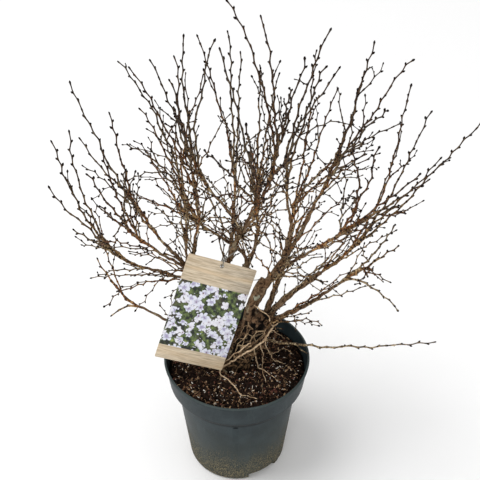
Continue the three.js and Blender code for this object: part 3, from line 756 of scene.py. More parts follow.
# Waves per millimetre of each pattern in the relief
WAVES = {"ridge": 0.26, "fold": 0.1, "small_fold": 0.22, "fine": 1.1, "lump": 0.09, "streak": 0.42}
# The ridges' roughness, how much finer each layer of them is, how many layers, their offset and gain
RIDGE_FORM = (1.0, 2.1, 3, 1.0, 2.0)
# How strongly each pattern shows in the bark's colour; the furrows darken it as painted shade
SHOWS = {"ridge": 0.3, "fold": 0.4, "streak": 0.15, "old_streak": 0.6, "furrow": 0.65}
# Bark grows old from this radius on, and is fully so a span further
OLD_FROM = 7
OLD_SPAN = 8
# Where limbs meet, a point takes its direction and radius from as many of the nearest joints
NEAR_JOINTS = 3
KNOB_GAP = 24
KNOB_SWELL = 0.28
# Where the butt is fuller than its stems: a column beside the inner bough, a front and a root's ridge
FULLNESS = (
    {"points": ((16, 9, 254), (18, 10, 271), (20, 12, 289), (24, 15, 307), (28, 18, 320), (33, 21, 334),
                (40, 25, 346)), "radii": (11, 4)},
    {"points": ((-4, 0, 212), (9, 0, 236), (24, -1, 248), (40, 3, 268)), "radii": (14, 12)},
    {"points": ((2, -10, 187), (11, -12, 206), (21, -11, 217), (30, -8, 227), (39, -6, 238)),
     "radii": (5.5, 3.5)},
    {"points": ((-16, -12, 187), (-10, -8, 200), (-4, -4, 214)), "radii": (9, 6)},
)
# Furrows sunk into the butt and painted darker as shade: between its stems, a knot hole, and between the
# ridges of its roots
FURROWS = (
    {"points": ((46, 4, 302), (43, 0, 292), (40, -3, 280), (36, -6, 266), (33, -8, 253)), "depth": 5.5,
     "width": 4},
    {"points": ((27, 6, 297), (28, 5, 290)), "depth": 4, "width": 3},
    {"points": ((22, -6, 280), (19, -8, 268), (16, -12, 247), (10, -14, 229)), "depth": 3.5,
     "width": 2.6},
    {"points": ((30, -4, 262), (27, -10, 246), (22, -13, 232)), "depth": 3, "width": 2.2},
    {"points": ((4, -4, 262), (0, -8, 246), (-5, -10, 228), (-8, -12, 210)), "depth": 3, "width": 2.4},
    {"points": ((12, -2, 278), (9, -6, 262), (4, -10, 240), (-2, -12, 222)), "depth": 2.4, "width": 2},
)
BUTT_TOP = 310


def lay_out_wood(wood):
    """Each limb's rings as points and radii, with the trunk's flare and the swollen arms of its fork."""
    rings = {}
    for index, (name, twig) in enumerate(wood.items()):
        count = len(twig.points)
        points, radii, shares = twig.laid_out(np.linspace(0, count - 1, BARK_RINGS * count))
        if name in MAIN_BOUGHS:
            radii = radii + ARM_SWELL * np.clip(1 - shares / ARM_SHARE, 0, 1)
        knobs = [KNOB_SWELL * noise.noise(Vector(p) / KNOB_GAP + Vector((0, index, 0))) for p in points]
        rings[name] = (points, radii * (1 + np.array(knobs)), shares)
    return rings


def wood_skin(wood):
    """The trunk and every bough as tubes that run into each other."""
    gathering = Gathering()
    for name, (points, radii, shares) in lay_out_wood(wood).items():
        ring = radii[:, None] * np.ones(BARK_SIDES)
        if name == "trunk_right":
            swell = np.clip(1 - shares / FLARE["share"], 0, 1)[:, None] ** 2
            lobes = 1 + FLARE["depth"] * swell * np.cos(FLARE["lobes"] * even_turns(BARK_SIDES))
            ring = (ring + FLARE["radius"] * swell) * lobes
            points = np.concatenate((points[:1] - (0, 0, BARK_SINK), points))
            ring = np.concatenate((ring[:1], ring))
        add_tube(gathering, points, ring, BARK_SIDES)
    for part in FULLNESS:
        path = smooth_path(part["points"])
        add_tube(gathering, path, np.linspace(*part["radii"], len(path)), BARK_SIDES)
    return gathering.build("bark")


def select_only(piece):
    """Makes a piece the one that the next operation works on."""
    if bpy.context.mode != "OBJECT":
        bpy.ops.object.mode_set(mode="OBJECT")
    bpy.ops.object.select_all(action="DESELECT")
    piece.select_set(True)
    bpy.context.view_layer.objects.active = piece


def apply_modifier(piece, kind, **settings):
    """Adds a modifier with its settings and applies it."""
    select_only(piece)
    modifier = piece.modifiers.new(kind.lower(), kind)
    for key, value in settings.items():
        setattr(modifier, key, value)
    bpy.ops.object.modifier_apply(modifier=modifier.name)


def triples(items, name):
    """Three numbers of each of a mesh's items, as rows."""
    values = np.empty(len(items) * 3, np.float32)
    items.foreach_get(name, values)
    return values.reshape(-1, 3).astype(float)


def mesh_points(mesh):
    """A mesh's points in millimetres."""
    return triples(mesh.vertices, "co") / MM


def set_points(mesh, points):
    """Moves a mesh's points to places in millimetres."""
    mesh.vertices.foreach_set("co", (points * MM).astype(np.float32).ravel())
    mesh.update()


def nearest_limb(points, wood):
    """The direction and the radius of the limbs nearest to each point."""
    samples = [(p, h, r) for twig in wood.values()
               for p, h, r in zip(twig.points, twig.heading, twig.radii)]
    tree = KDTree(len(samples))
    for index, (point, _, _) in enumerate(samples):
        tree.insert(point, index)
    tree.balance()
    found = [tree.find_n(p, NEAR_JOINTS) for p in points]
    heading = unit(np.array([sum(samples[i][1] / (d + 1) for _, i, d in near) for near in found]))
    radius = np.array([max(samples[i][2] for _, i, _ in near) for near in found])
    return heading, radius


def furrow_depths(piece, points):
    """How deep the butt's furrows are at each point, and how much painted shade darkens them."""
    skin = BVHTree.FromObject(piece, bpy.context.evaluated_depsgraph_get())
    deep, dark = np.zeros(len(points)), np.zeros(len(points))
    for furrow in FURROWS:
        path = [Vector(p) * MM for p in smooth_path(furrow["points"])]
        line = np.array([skin.find_nearest(p)[0] for p in path]) / MM
        away = np.linalg.norm(points[:, None] - line[None], axis=2).min(axis=1)
        share = np.exp(-(away / furrow["width"]) ** 2)
        deep, dark = np.maximum(deep, share * furrow["depth"]), np.maximum(dark, share)
    return deep, dark


def waves(points, name):
    """Smooth noise at each point."""
    return np.array([noise.noise(Vector(p) * WAVES[name]) for p in points])


def bark_relief(piece, wood):
    """Raises ridges and sinks cracks that run along each limb, deeper on thicker wood."""
    mesh = piece.data
    points, normals = mesh_points(mesh), triples(mesh.vertex_normals, "vector")
    heading, radius = nearest_limb(points, wood)
    along = (points * heading).sum(axis=1, keepdims=True) * heading
    grain = points - along * (1 - BARK_STRETCH)
    ridges = np.array([noise.ridged_multi_fractal(Vector(p) * WAVES["ridge"], *RIDGE_FORM) - 1
                       for p in grain])
    folds = waves(grain, "fold") + waves(grain, "small_fold")
    old = np.clip((radius - OLD_FROM) / OLD_SPAN, 0, 1)
    heights = (ridges * (RELIEF["least"] + RELIEF["share"] * radius) + folds * old * RELIEF["fold"]
               + waves(grain, "fine") * RELIEF["fine"])
    lump = waves(points, "lump") * radius * RELIEF["lump"]
    streaks = waves(points - along * (1 - STREAK_STRETCH), "streak")
    low = points[:, 2] < BUTT_TOP
    deep, dark = np.zeros(len(points)), np.zeros(len(points))
    deep[low], dark[low] = furrow_depths(piece, points[low])
    heights += streaks * old * RELIEF["streak"] - deep
    # The bark's colour follows this: paler on ridges, darker in cracks and darkest in the furrows, as
    # painted highlight and shade.
    relief = (0.5 + ridges * SHOWS["ridge"] + folds * old * SHOWS["fold"]
              + streaks * (SHOWS["streak"] + old * SHOWS["old_streak"]) - dark * SHOWS["furrow"])
    set_points(mesh, points + normals * (heights + lump)[:, None])
    for name, values in (("relief", relief), ("girth", radius)):
        mesh.attributes.new(name, "FLOAT", "POINT").data.foreach_set("value", values.astype(np.float32))


def make_bark(wood):
    """The wood's skin, melted together where limbs meet, with its relief."""
    piece = wood_skin(wood)
    apply_modifier(piece, "REMESH", mode="VOXEL", voxel_size=BARK_VOXEL * MM)
    apply_modifier(piece, "SMOOTH", **BARK_SMOOTHING)
    bark_relief(piece, wood)
    piece.data.shade_smooth()
    return piece


# Turned and cut shapes
def edit(piece):
    """Opens a piece for editing with all of it selected."""
    select_only(piece)
    bpy.ops.object.mode_set(mode="EDIT")
    bpy.ops.mesh.select_all(action="SELECT")


def close_edit():
    """Turns every face outwards and ends the editing."""
    bpy.ops.mesh.select_all(action="SELECT")
    bpy.ops.mesh.normals_make_consistent(inside=False)
    bpy.ops.object.mode_set(mode="OBJECT")


def turned(name, profile):
    """A closed turned solid: a disc at the profile's start, extruded and resized up to its end."""
    radius, height = profile[0]
    bpy.ops.mesh.primitive_circle_add(vertices=POT_SIDES, radius=radius * MM, fill_type="NGON",
                                      location=(0, 0, height * MM))
    piece = bpy.context.object
    piece.name = piece.data.name = name
    bpy.ops.object.transform_apply(location=True, rotation=False, scale=False)
    edit(piece)
    for (radius, height), (next_radius, next_height) in zip(profile, profile[1:]):
        bpy.ops.mesh.extrude_region_move(
            TRANSFORM_OT_translate={"value": (0, 0, (next_height - height) * MM)})
        share = next_radius / radius
        bpy.ops.transform.resize(value=(share, share, 1), center_override=(0, 0, next_height * MM))
    close_edit()
    return piece


def subtract(piece, cutters):
    """Cuts shapes out of a piece and removes them."""
    for cutter in cutters:
        apply_modifier(piece, "BOOLEAN", operation="DIFFERENCE", solver="EXACT", object=cutter)
        bpy.data.objects.remove(cutter)


def rounded(start, end, corner, steps=5):
    """Points of a profile that round a corner between two points."""
    bow = Bow(np.array((*start, 0)), np.array((*corner, 0)), np.array((*end, 0)))
    return [tuple(p[:2]) for p in bow.points(np.linspace(0, 1, steps))]


def body_radius(height):
    """The pot's outside radius under the collar."""
    return BASE_RADIUS + (SHOULDER_RADIUS - BASE_RADIUS) * height / SHOULDER


def collar_radius(height):
    """The collar's outside radius."""
    share = (height - COLLAR_FOOT) / (POT_HEIGHT - COLLAR_FOOT)
    return COLLAR_FOOT_RADIUS + (COLLAR_TOP_RADIUS - COLLAR_FOOT_RADIUS) * share


def notch_cutters(lining):
    """The two drainage notches as upright sheets spun round the pot, grown by what a lining takes."""
    cutters = []
    inner, top = NOTCH["inner"] - lining, NOTCH["height"] + lining
    arc = NOTCH["arc"] + 2 * math.degrees(lining / NOTCH["inner"])
    for turn in NOTCH_TURNS:
        middle = (inner + SHOULDER_RADIUS) / 2
        bpy.ops.mesh.primitive_plane_add(size=MM, location=(middle * MM, 0, (top - 1) / 2 * MM),
                                         rotation=(math.pi / 2, 0, 0))
        cutter = bpy.context.object
        cutter.scale = (SHOULDER_RADIUS - inner, top + 1, 1)
        bpy.ops.object.transform_apply(location=True, rotation=True, scale=True)
        edit(cutter)
        # The spin turns clockwise
        bpy.ops.mesh.spin(steps=NOTCH["steps"], angle=math.radians(arc), center=(0, 0, 0), axis=(0, 0, 1))
        bpy.ops.mesh.select_all(action="SELECT")
        bpy.ops.mesh.remove_doubles(threshold=0.01 * MM)
        close_edit()
        cutter.rotation_euler.z = math.radians(turn + arc / 2)
        bpy.ops.object.transform_apply(location=False, rotation=True, scale=False)
        cutters.append(cutter)
    return cutters


def drain_cutters():
    """The round drain holes of the pot's floor."""
    cutters = []
    for i in range(DRAIN_HOLES["count"]):
        x, y, _ = polar(360 * i / DRAIN_HOLES["count"], 0, DRAIN_HOLES["ring"])
        bpy.ops.mesh.primitive_cylinder_add(vertices=32, radius=DRAIN_HOLES["radius"] * MM,
                                            depth=3 * FLOOR * MM, location=(x * MM, y * MM, 0))
        cutters.append(bpy.context.object)
    return cutters


def mark_cutter():
    """The small moulded hollow under the collar."""
    turn, height = MOULD_MARK["turn"], MOULD_MARK["height"]
    x, y, _ = polar(turn, 0, body_radius(height))
    bpy.ops.mesh.primitive_uv_sphere_add(segments=20, ring_count=12, radius=0.5 * MM,
                                         location=(x * MM, y * MM, height * MM),
                                         rotation=(0, 0, math.radians(turn + 90)))
    bpy.context.object.scale = MOULD_MARK["size"]
    bpy.ops.object.transform_apply(location=True, rotation=True, scale=True)
    return bpy.context.object


def inner_profile(inset, floor, top, edge_drop=0):
    """The pot's hollow, or the soil in it, drawn in from the pot's outside by an inset."""
    side = body_radius(floor + BASE_ROUND) - inset
    flat = body_radius(floor) - inset - BASE_ROUND
    points = [*rounded((flat, floor), (side, floor + BASE_ROUND), (side, floor)),
              (SHOULDER_RADIUS - inset, SHOULDER + inset),
              (COLLAR_FOOT_RADIUS - inset, COLLAR_FOOT + inset),
              (collar_radius(top - edge_drop) - inset, top - edge_drop)]
    return points + ([(SOIL_FLAT_RADIUS, top)] if edge_drop else [])


def make_pot():
    """The pot as one turned solid, hollowed out and cut."""
    rim_foot = POT_HEIGHT - RIM_HEIGHT
    outside = turned("pot_body", [
        *rounded((BASE_RADIUS - BASE_ROUND, 0), (body_radius(BASE_ROUND), BASE_ROUND), (BASE_RADIUS, 0)),
        *rounded((SHOULDER_RADIUS - 0.2, SHOULDER - 2), (SHOULDER_RADIUS + 1.5, SHOULDER + 0.5),
                 (SHOULDER_RADIUS, SHOULDER), 4),
        *rounded((COLLAR_FOOT_RADIUS - 2, COLLAR_FOOT - 0.7),
                 (collar_radius(COLLAR_FOOT + 3), COLLAR_FOOT + 3), (COLLAR_FOOT_RADIUS, COLLAR_FOOT)),
        (collar_radius(rim_foot), rim_foot),
        (RIM_RADIUS - 0.3, rim_foot + RIM_OVERHANG),
        *rounded((RIM_RADIUS, POT_HEIGHT - 1.6), (RIM_RADIUS - 1, POT_HEIGHT),
                 (RIM_RADIUS, POT_HEIGHT), 4),
    ])
    hollow = turned("hollow", inner_profile(WALL, FLOOR, POT_HEIGHT + 1))
    subtract(hollow, notch_cutters(WALL))
    subtract(outside, [hollow, *notch_cutters(0), *drain_cutters(), mark_cutter()])
    select_only(outside)
    bpy.ops.object.shade_smooth_by_angle(angle=math.radians(SHARP_FROM))
    return outside


# Soil
def bumps(x, y, name):
    """Smooth noise over the soil's top."""
    wave, layer = SOIL_WAVES[name]
    return noise.noise((x * wave, y * wave, layer))


def mound(x, y):
    """How far the soil's top lies above its mean height."""
    return bumps(x, y, "mound") * SOIL_MOUNDS + bumps(x, y, "grain") * SOIL_GRAIN


def soil_height(x, y):
    """The height of the soil's top, which drops towards the pot's wall."""
    edge = np.clip((math.hypot(x, y) - SOIL_FLAT_RADIUS) / (SOIL_EDGE_RADIUS - SOIL_FLAT_RADIUS), 0, 1)
    return SOIL_TOP - SOIL_EDGE_DROP * edge + mound(x, y)


def make_soil():
    """The compost, with a crumbly mounded top."""
    inset = WALL + SOIL_GAP
    soil = turned("compost", inner_profile(inset, FLOOR + SOIL_GAP, SOIL_TOP, SOIL_EDGE_DROP))
    subtract(soil, notch_cutters(inset))
    apply_modifier(soil, "REMESH", mode="VOXEL", voxel_size=SOIL_VOXEL * MM)
    points = mesh_points(soil.data)
    for point in points:
        if point[2] > SOIL_TOP - SOIL_EDGE_DROP - SOIL_TOP_LAYER:
            x, y, _ = point
            point[2] += mound(x, y) + bumps(x, y, "crumb") * SOIL_GRAIN
    set_points(soil.data, points)
    soil.data.shade_smooth()
    return soil


# Loose bits on the soil. Sizes are half lengths along a bit's own axes.
LITTER_REACH = 104
SOIL_CLEARANCE = 0.6
STILL_POINTS = 3
LITTER = {
    "compost_crumbs": {"count": 3000, "size": (2.9, 2.3, 1.9), "spread": (0.4, 1.7), "raise": 0.4,
                       "colors": ("020101", "2b1c14")},
    "brown_crumbs": {"count": 1300, "size": (2.7, 1.6, 1.2), "spread": (0.4, 1.5), "raise": 0.7,
                     "colors": ("21140e", "7b5b44")},
    "bark_chips": {"count": 430, "size": (3.1, 0.9, 0.6), "spread": (0.4, 1.7), "raise": 1.5,
                   "colors": ("6b533e", "b89b79")},
    "red_chips": {"count": 170, "size": (3.2, 2.0, 0.9), "spread": (0.5, 1.4), "raise": 1.2,
                  "colors": ("3a201a", "70463b")},
    "pale_grit": {"count": 320, "size": (1.9, 0.6, 0.5), "spread": (0.4, 1.7), "raise": 1.7,
                  "colors": ("b3aa9b", "efebe2")},
}
LITTER_SEED = 11
LITTER_TILT = 28
LITTER_DENTS = (0.72, 1.2)
FIBRES = {"count": 190, "length": (8, 30), "radius": 0.25, "seed": 5, "points": 9, "sides": 4,
          "swing": 7, "wave": 16, "raise": (0, 1.2)}


def crumb_shape():
    """The points and faces of a coarse ball of unit radius, as the blank for every loose bit."""
    bpy.ops.mesh.primitive_ico_sphere_add(subdivisions=1, radius=MM)
    ball = bpy.context.object
    points = mesh_points(ball.data)
    faces = np.array([face.vertices[:] for face in ball.data.polygons])
    bpy.data.objects.remove(ball)
    return points, faces


def random_turns(rng, count, tilt):
    """Rotation matrices about a random upright turn, with a random tilt of about the given angle."""
    def about(first, second, angles):
        """Turns from one axis towards another."""
        turns = np.tile(np.eye(3), (len(angles), 1, 1))
        turns[:, first, first] = turns[:, second, second] = [math.cos(a) for a in angles]
        turns[:, second, first] = [math.sin(a) for a in angles]
        turns[:, first, second] = -turns[:, second, first]
        return turns

    turns, tilts = rng.uniform(0, 2 * math.pi, count), rng.normal(0, math.radians(tilt), (2, count))
    return about(0, 1, turns) @ about(1, 2, tilts[0]) @ about(2, 0, tilts[1])


def on_soil(rng, count):
    """Random places on the soil, clear of the trunk's foot."""
    places = []
    while len(places) < count:
        x, y = rng.uniform(-LITTER_REACH, LITTER_REACH, 2)
        trunk_x, trunk_y, trunk_reach = TRUNK_SPOT
        if math.hypot(x, y) < LITTER_REACH and math.hypot(x - trunk_x, y - trunk_y) > trunk_reach:
            places.append((x, y, soil_height(x, y)))
    return np.array(places)


def make_litter():
    """Crumbs, chips and grit, each kind joined into one piece."""
    blank, faces = crumb_shape()
    pieces = []
    for seed, (name, kind) in enumerate(LITTER.items(), LITTER_SEED):
        rng = np.random.default_rng(seed)
        gathering = Gathering()
        places = on_soil(rng, kind["count"])
        turns = random_turns(rng, kind["count"], LITTER_TILT)
        for place, turn in zip(places, turns):
            size = np.array(kind["size"]) * rng.uniform(*kind["spread"])
            shape = (blank * size) * rng.uniform(*LITTER_DENTS, (len(blank), 1))
            gathering.add(place + (0, 0, kind["raise"]) + shape @ turn.T, faces)
        pieces.append(gathering.build(name))
        pieces[-1].data.shade_flat()
    return pieces


def lay_on_soil(path, radius):
    """Lifts whatever would be under the soil onto its top."""
    floor = np.array([soil_height(x, y) if math.hypot(x, y) < LITTER_REACH else 0 for x, y, _ in path])
    path[:, 2] = np.maximum(path[:, 2], floor + radius + SOIL_CLEARANCE)
    return path


def wriggle(path, amount, wave, key):
    """Bends a path to and fro, from nothing at its start to the full amount a few points on."""
    fade = np.minimum(1, np.arange(len(path)) / STILL_POINTS)[:, None]
    drift = np.array([noise.noise_vector(Vector(p) / wave + Vector((0, 0, key))) for p in path])
    return path + drift * amount * fade


def make_fibres():
    """Fine pale strands strewn over the soil, joined into one piece."""
    gathering = Gathering()
    rng = np.random.default_rng(FIBRES["seed"])
    for key, place in enumerate(on_soil(rng, FIBRES["count"])):
        length, turn = rng.uniform(*FIBRES["length"]), rng.uniform(0, 2 * math.pi)
        reach = np.array((math.cos(turn), math.sin(turn), 0)) * length
        path = place + np.linspace(0, 1, FIBRES["points"])[:, None] * reach
        if (np.hypot(path[:, 0], path[:, 1]) < LITTER_REACH).all():
            path = wriggle(path, FIBRES["swing"], FIBRES["wave"], key)
            path = lay_on_soil(path, FIBRES["radius"] + rng.uniform(*FIBRES["raise"]))
            add_tube(gathering, path, np.full(len(path), FIBRES["radius"]), FIBRES["sides"])
    return gathering.build("soil_fibres")


# Surface roots: the source's strands with their side strands, and fine rootlets that cling to the trunk
LAY = 189.25
STRANDS = (
    {"radii": (1.7, 0.6), "points": (
        (71, 11, 280), (63, 4, 276), (55, -3, 269), (47, -9, 259), (43, -11, 254), (35, -13, 246),
        (27, -16, 240), (18, -18, 236), (12, -19, 232), (4, -20, 225), (-3, -20, 217), (-12, -18, 208),
        (-21, -17, 199), (-27, -21, 191), (-22, -29, LAY), (-12, -38, LAY), (-4, -50, LAY), (3, -65, LAY),
        (9, -72, LAY), (20, -72, LAY), (31, -77, LAY))},
    {"radii": (0.95, 0.55), "points": (
        (26, -15, 239), (29, -14, 222), (31, -12, 205), (37, -13, LAY), (45, -19, LAY), (54, -28, LAY),
        (61, -33, LAY))},
    {"radii": (0.8, 0.5), "points": (
        (36, -13, 248), (39, -11, 230), (41, -8, 212), (40, -11, LAY), (42, -25, LAY), (46, -41, LAY))},
    {"radii": (0.85, 0.55), "points": (
        (45, -9, 258), (44, -7, 243), (47, -6, 228), (54, -2, 212), (61, 5, LAY), (69, 2, LAY),
        (79, -6, LAY), (87, -16, LAY))},
    {"radii": (1.0, 0.6), "points": (
        (20, 17, 304), (26, 8, 306), (33, 6, 301), (41, 4, 297), (49, -2, 291), (51, -7, 285),
        (55, -5, 276), (60, 1, 275))},
    {"radii": (1.0, 0.55), "points": (
        (22, -13, 248), (12, -15, 242), (4, -17, 234), (-6, -16, 224), (-14, -14, 213), (-24, -13, 202))},
    {"radii": (0.6, 0.4), "points": (
        (53, -3, 214), (63, 16, 199), (74, 32, LAY), (85, 27, LAY), (93, 17, LAY))},
    {"radii": (0.6, 0.35), "points": (
        (50, 0, 264), (59, 12, 248), (69, 34, 220), (80, 58, LAY))},
)
STRAND_SIDES = 7
STRAND_RAISE = 1.4
STRAND_TAPER = 0.6
STRAND_STEPS = 6
STRAND_LUMPS = {"share": 0.35, "wave": 4}
# How far the strands bend, and over what length, first widely and then finely
STRAND_BENDS = ((2, 12), (1.2, 4))
ROOTLETS = {"count": 16, "seed": 23, "turns": (-150, -50), "heights": (252, 300), "ends": (206, 256),
            "drop": 5, "swing": 0.08, "carry": 0.7, "sway": 0.8, "from_outside": 34, "stand": 0.5,
            "radii": (0.45, 0.28), "thick": (0.6, 1.25), "least_points": 5, "sides": 5, "steps": 3,
            "bend": (0.8, 12), "first_key": 40}


def make_strands():
    """The strands that come down the trunk and lie on the soil, joined into one piece."""
    gathering = Gathering()
    for key, strand in enumerate(STRANDS):
        foot, tip = strand["radii"]
        path = smooth_path(strand["points"], STRAND_STEPS)
        for amount, wave in STRAND_BENDS:
            path = wriggle(path, amount, wave, key)
        path = lay_on_soil(path, foot + STRAND_RAISE)
        radii = np.linspace(1, 0, len(path)) ** STRAND_TAPER * (foot - tip) + tip
        lumps = np.array([1 + STRAND_LUMPS["share"] * noise.noise(Vector(p) / STRAND_LUMPS["wave"])
                          for p in path])
        add_tube(gathering, path, radii * lumps, STRAND_SIDES)
    return gathering.build("main_surface_roots")


def rootlet_path(rng, skin, stem):
    """A path down the trunk's skin that swings from side to side."""
    height, turn = rng.uniform(*ROOTLETS["heights"]), math.radians(rng.uniform(*ROOTLETS["turns"]))
    end = rng.uniform(*ROOTLETS["ends"])
    swing, path = rng.normal(0, 1), []
    while height > end:
        share = np.interp(height, stem.points[:, 2], stem.shares)
        out = np.array((math.cos(turn), math.sin(turn), 0))
        outside = stem.curve.point(share) + out * ROOTLETS["from_outside"]
        place, normal, _, _ = skin.find_nearest(outside * MM)
        path.append(np.array(place) / MM + np.array(normal) * ROOTLETS["stand"])
        swing = swing * ROOTLETS["carry"] + rng.normal(0, ROOTLETS["sway"])
        turn += swing * ROOTLETS["swing"]
        height -= ROOTLETS["drop"]
    return np.array(path)


def make_rootlets(bark, stem):
    """Fine rootlets that cling to the trunk, joined into one piece."""
    gathering = Gathering()
    rng = np.random.default_rng(ROOTLETS["seed"])
    skin = BVHTree.FromObject(bark, bpy.context.evaluated_depsgraph_get())
    for key in range(ROOTLETS["first_key"], ROOTLETS["first_key"] + ROOTLETS["count"]):
        path = rootlet_path(rng, skin, stem)
        if len(path) >= ROOTLETS["least_points"]:
            path = wriggle(smooth_path(path, ROOTLETS["steps"]), *ROOTLETS["bend"], key)
            radii = np.linspace(*ROOTLETS["radii"], len(path)) * rng.uniform(*ROOTLETS["thick"])
            add_tube(gathering, path, radii, ROOTLETS["sides"])
    return gathering.build("fine_surface_roots")


# Materials
class Field:
    """A number, vector or colour that varies over a surface."""

    def __init__(self, finish, socket):
        self.finish, self.socket = finish, socket

    def sum(self, operation, *values):
        """A number worked out at each point."""
        return self.finish.node("ShaderNodeMath", {"operation": operation}, values)

    def __add__(self, other):
        return self.sum("ADD", self, other)

    def __sub__(self, other):
        return self.sum("SUBTRACT", self, other)

    def __rsub__(self, other):
        return self.sum("SUBTRACT", other, self)

    def __mul__(self, other):
        return self.sum("MULTIPLY", self, other)

    def __truediv__(self, other):
        return self.sum("DIVIDE", self, other)

    def __pow__(self, other):
        return self.sum("POWER", self, other)

    def __lt__(self, other):
        return self.sum("LESS_THAN", self, other)

    def __gt__(self, other):
        return self.sum("GREATER_THAN", self, other)

    def __abs__(self):
        return self.sum("ABSOLUTE", self)

    __radd__ = __add__
    __rmul__ = __mul__

    def between(self, low, high):
        """0 below low, 1 above high and smooth between."""
        values = {"Value": self, "From Min": low, "From Max": high}
        return self.finish.node("ShaderNodeMapRange", {"interpolation_type": "SMOOTHSTEP"}, values)


class Finish:
    """One material: its constants sit on its shader, and fields are wired to what varies."""

    def __init__(self, name, **constants):
        self.material = bpy.data.materials.new(name)
        self.material.use_nodes = True
        self.tree = self.material.node_tree
        self.shader = self.tree.nodes["Principled BSDF"]
        for socket, value in constants.items():
            self.shader.inputs[socket.replace("_", " ")].default_value = value
        self.place = self.node("ShaderNodeTexCoord", out="Object")

    def node(self, kind, settings=None, values=(), out=0):
        """A new node with its settings, and the fields, numbers or colours that go into it."""
        made = self.tree.nodes.new(kind)
        for key, value in (settings or {}).items():
            setattr(made, key, value)
        for key, value in values.items() if isinstance(values, dict) else enumerate(values):
            if isinstance(value, Field):
                self.tree.links.new(value.socket, made.inputs[key])
            else:
                made.inputs[key].default_value = paint(value) if isinstance(value, str) else value
        return Field(self, made.outputs[out])

    def axis(self, name):
        """One coordinate in millimetres."""
        return self.node("ShaderNodeSeparateXYZ", values=(self.place,), out=name) / MM

    def flat(self, x, y):
        """Coordinates of a flat pattern."""
        return self.node("ShaderNodeCombineXYZ", values=(x, y, 0.0))

    def stretched(self, x, y, z):
        """Coordinates squeezed along each axis by a factor, so that a pattern grows long there."""
        return self.node("ShaderNodeMapping", values={"Vector": self.place, "Scale": (x, y, z)})

    def noise(self, size, detail=2.0, roughness=0.5, place=None):
        """Smooth noise about 0.5, with features of a size in millimetres."""
        return self.node("ShaderNodeTexNoise", values={
            "Vector": place or self.place, "Scale": 1 / (size * MM), "Detail": detail,
            "Roughness": roughness})

    def specks(self, size):
        """How far each point is from the middle of its cell, in cells of a size in millimetres."""
        return self.node("ShaderNodeTexVoronoi", values={
            "Vector": self.place, "Scale": 1 / (size * MM)}, out="Distance")

    def attribute(self, name):
        """A value stored on the mesh."""
        return self.node("ShaderNodeAttribute", {"attribute_name": name}, out="Fac")

    def mix(self, share, first, second):
        """A colour between two, by a share from 0 to 1."""
        return self.node("ShaderNodeMix", {"data_type": "RGBA"}, {0: share, 6: first, 7: second}, out=2)

    def layered(self, under, *layers):
        """A colour with others laid over it in turn, each given by its share and its colour."""
        for share, color in layers:
            under = self.mix(share, under, color)
        return under

    def wire(self, socket, field):
        """Wires a field to the shader."""
        self.tree.links.new(field.socket, self.shader.inputs[socket])
        return self

    def color(self, field):
        return self.wire("Base Color", field)

    def roughness(self, field):
        return self.wire("Roughness", field)

    def bump(self, height, depth):
        """Raises the surface by a field times a depth in millimetres."""
        return self.wire("Normal", self.node("ShaderNodeBump", values={
            "Height": height, "Distance": depth * MM}))


POT_COLORS = {"dark": "212a2d", "light": "2d373a", "scuff_and_rim_highlight": "59635f", "tinge": "3b4039",
              "grime": "36352c", "ochre": "8d8062", "painted_shade": "080a0b"}


def pot_finish():
    """Satin slate grey plastic with painted shade under its collar and in its mould mark, a painted
    highlight along its rim, and a speckled ochre stain near its foot.
    """
    finish = Finish("pot_plastic", Specular_IOR_Level=0.15)
    x, y, height = (finish.axis(name) for name in "XYZ")
    mottle = finish.noise(38, 4, 0.6)
    streaks = finish.noise(9, 3, 0.6, finish.stretched(1, 1, 0.12))
    film = finish.noise(1.6, 3, 0.7)
    climb = height - abs(x) * 0.25 + (mottle - 0.5) * 60 + (streaks - 0.5) * 50
    stain = 1 - climb.between(6, 86)
    grime = finish.mix(film.between(0.45, 0.62), POT_COLORS["grime"], POT_COLORS["ochre"])
    # Painted shade: a dark band on the body under the collar's overhang.
    painted_crease_shade = (height.between(SHOULDER - 16, SHOULDER - 11)
              * (1 - height.between(COLLAR_FOOT + 2, COLLAR_FOOT + 5)))
    # Painted shade in the hollow of the mould mark.
    mark_x = polar(MOULD_MARK["turn"], 0, body_radius(MOULD_MARK["height"]))[0]
    aside = (x - mark_x) / (MOULD_MARK["size"][0] / 2)
    above = (height - MOULD_MARK["height"]) / (MOULD_MARK["size"][2] / 2)
    mark = (1 - (aside * aside + above * above).between(0.6, 1.1)) * (y < 0.0)
    color = finish.layered(
        finish.mix(mottle.between(0.35, 0.7), POT_COLORS["dark"], POT_COLORS["light"]),
        (streaks.between(0.55, 0.85) * 0.3, POT_COLORS["scuff_and_rim_highlight"]),
        ((1 - climb.between(60, 150)) * 0.35, POT_COLORS["tinge"]),
        (film.between(0.46, 0.58) * stain * 0.9, grime),
        # Painted shade under the collar and in the mould mark.
        ((painted_crease_shade + mark) * 0.7, POT_COLORS["painted_shade"]),
        # A painted highlight along the top of the rim; the same pale colour also marks the real scuff
        # streaks.
        (height.between(POT_HEIGHT - 2.2, POT_HEIGHT - 0.6) * 0.3, POT_COLORS["scuff_and_rim_highlight"]))
    finish.color(color).roughness(0.42 + stain * 0.3 + film * 0.12)
    return finish.bump(film + mottle * 0.4, 0.12).material


def soil_finish():
    """Dark crumbly compost."""
    finish = Finish("compost", Roughness=0.95, Specular_IOR_Level=0.05)
    grain = finish.noise(1.6, 4, 0.7)
    color = finish.mix(grain.between(0.42, 0.68), "010101", "21160f")
    return finish.color(color).bump(grain + finish.specks(3.2), 0.8).material


def plain_finish(name, dark, light, size, roughness=0.85, relief=0.2):
    """A natural surface that varies a little between two colours."""
    finish = Finish(name, Roughness=roughness, Specular_IOR_Level=0.1)
    grain = finish.noise(size, 3, 0.6)
    return finish.color(finish.mix(grain.between(0.3, 0.7), dark, light)).bump(grain, relief).material


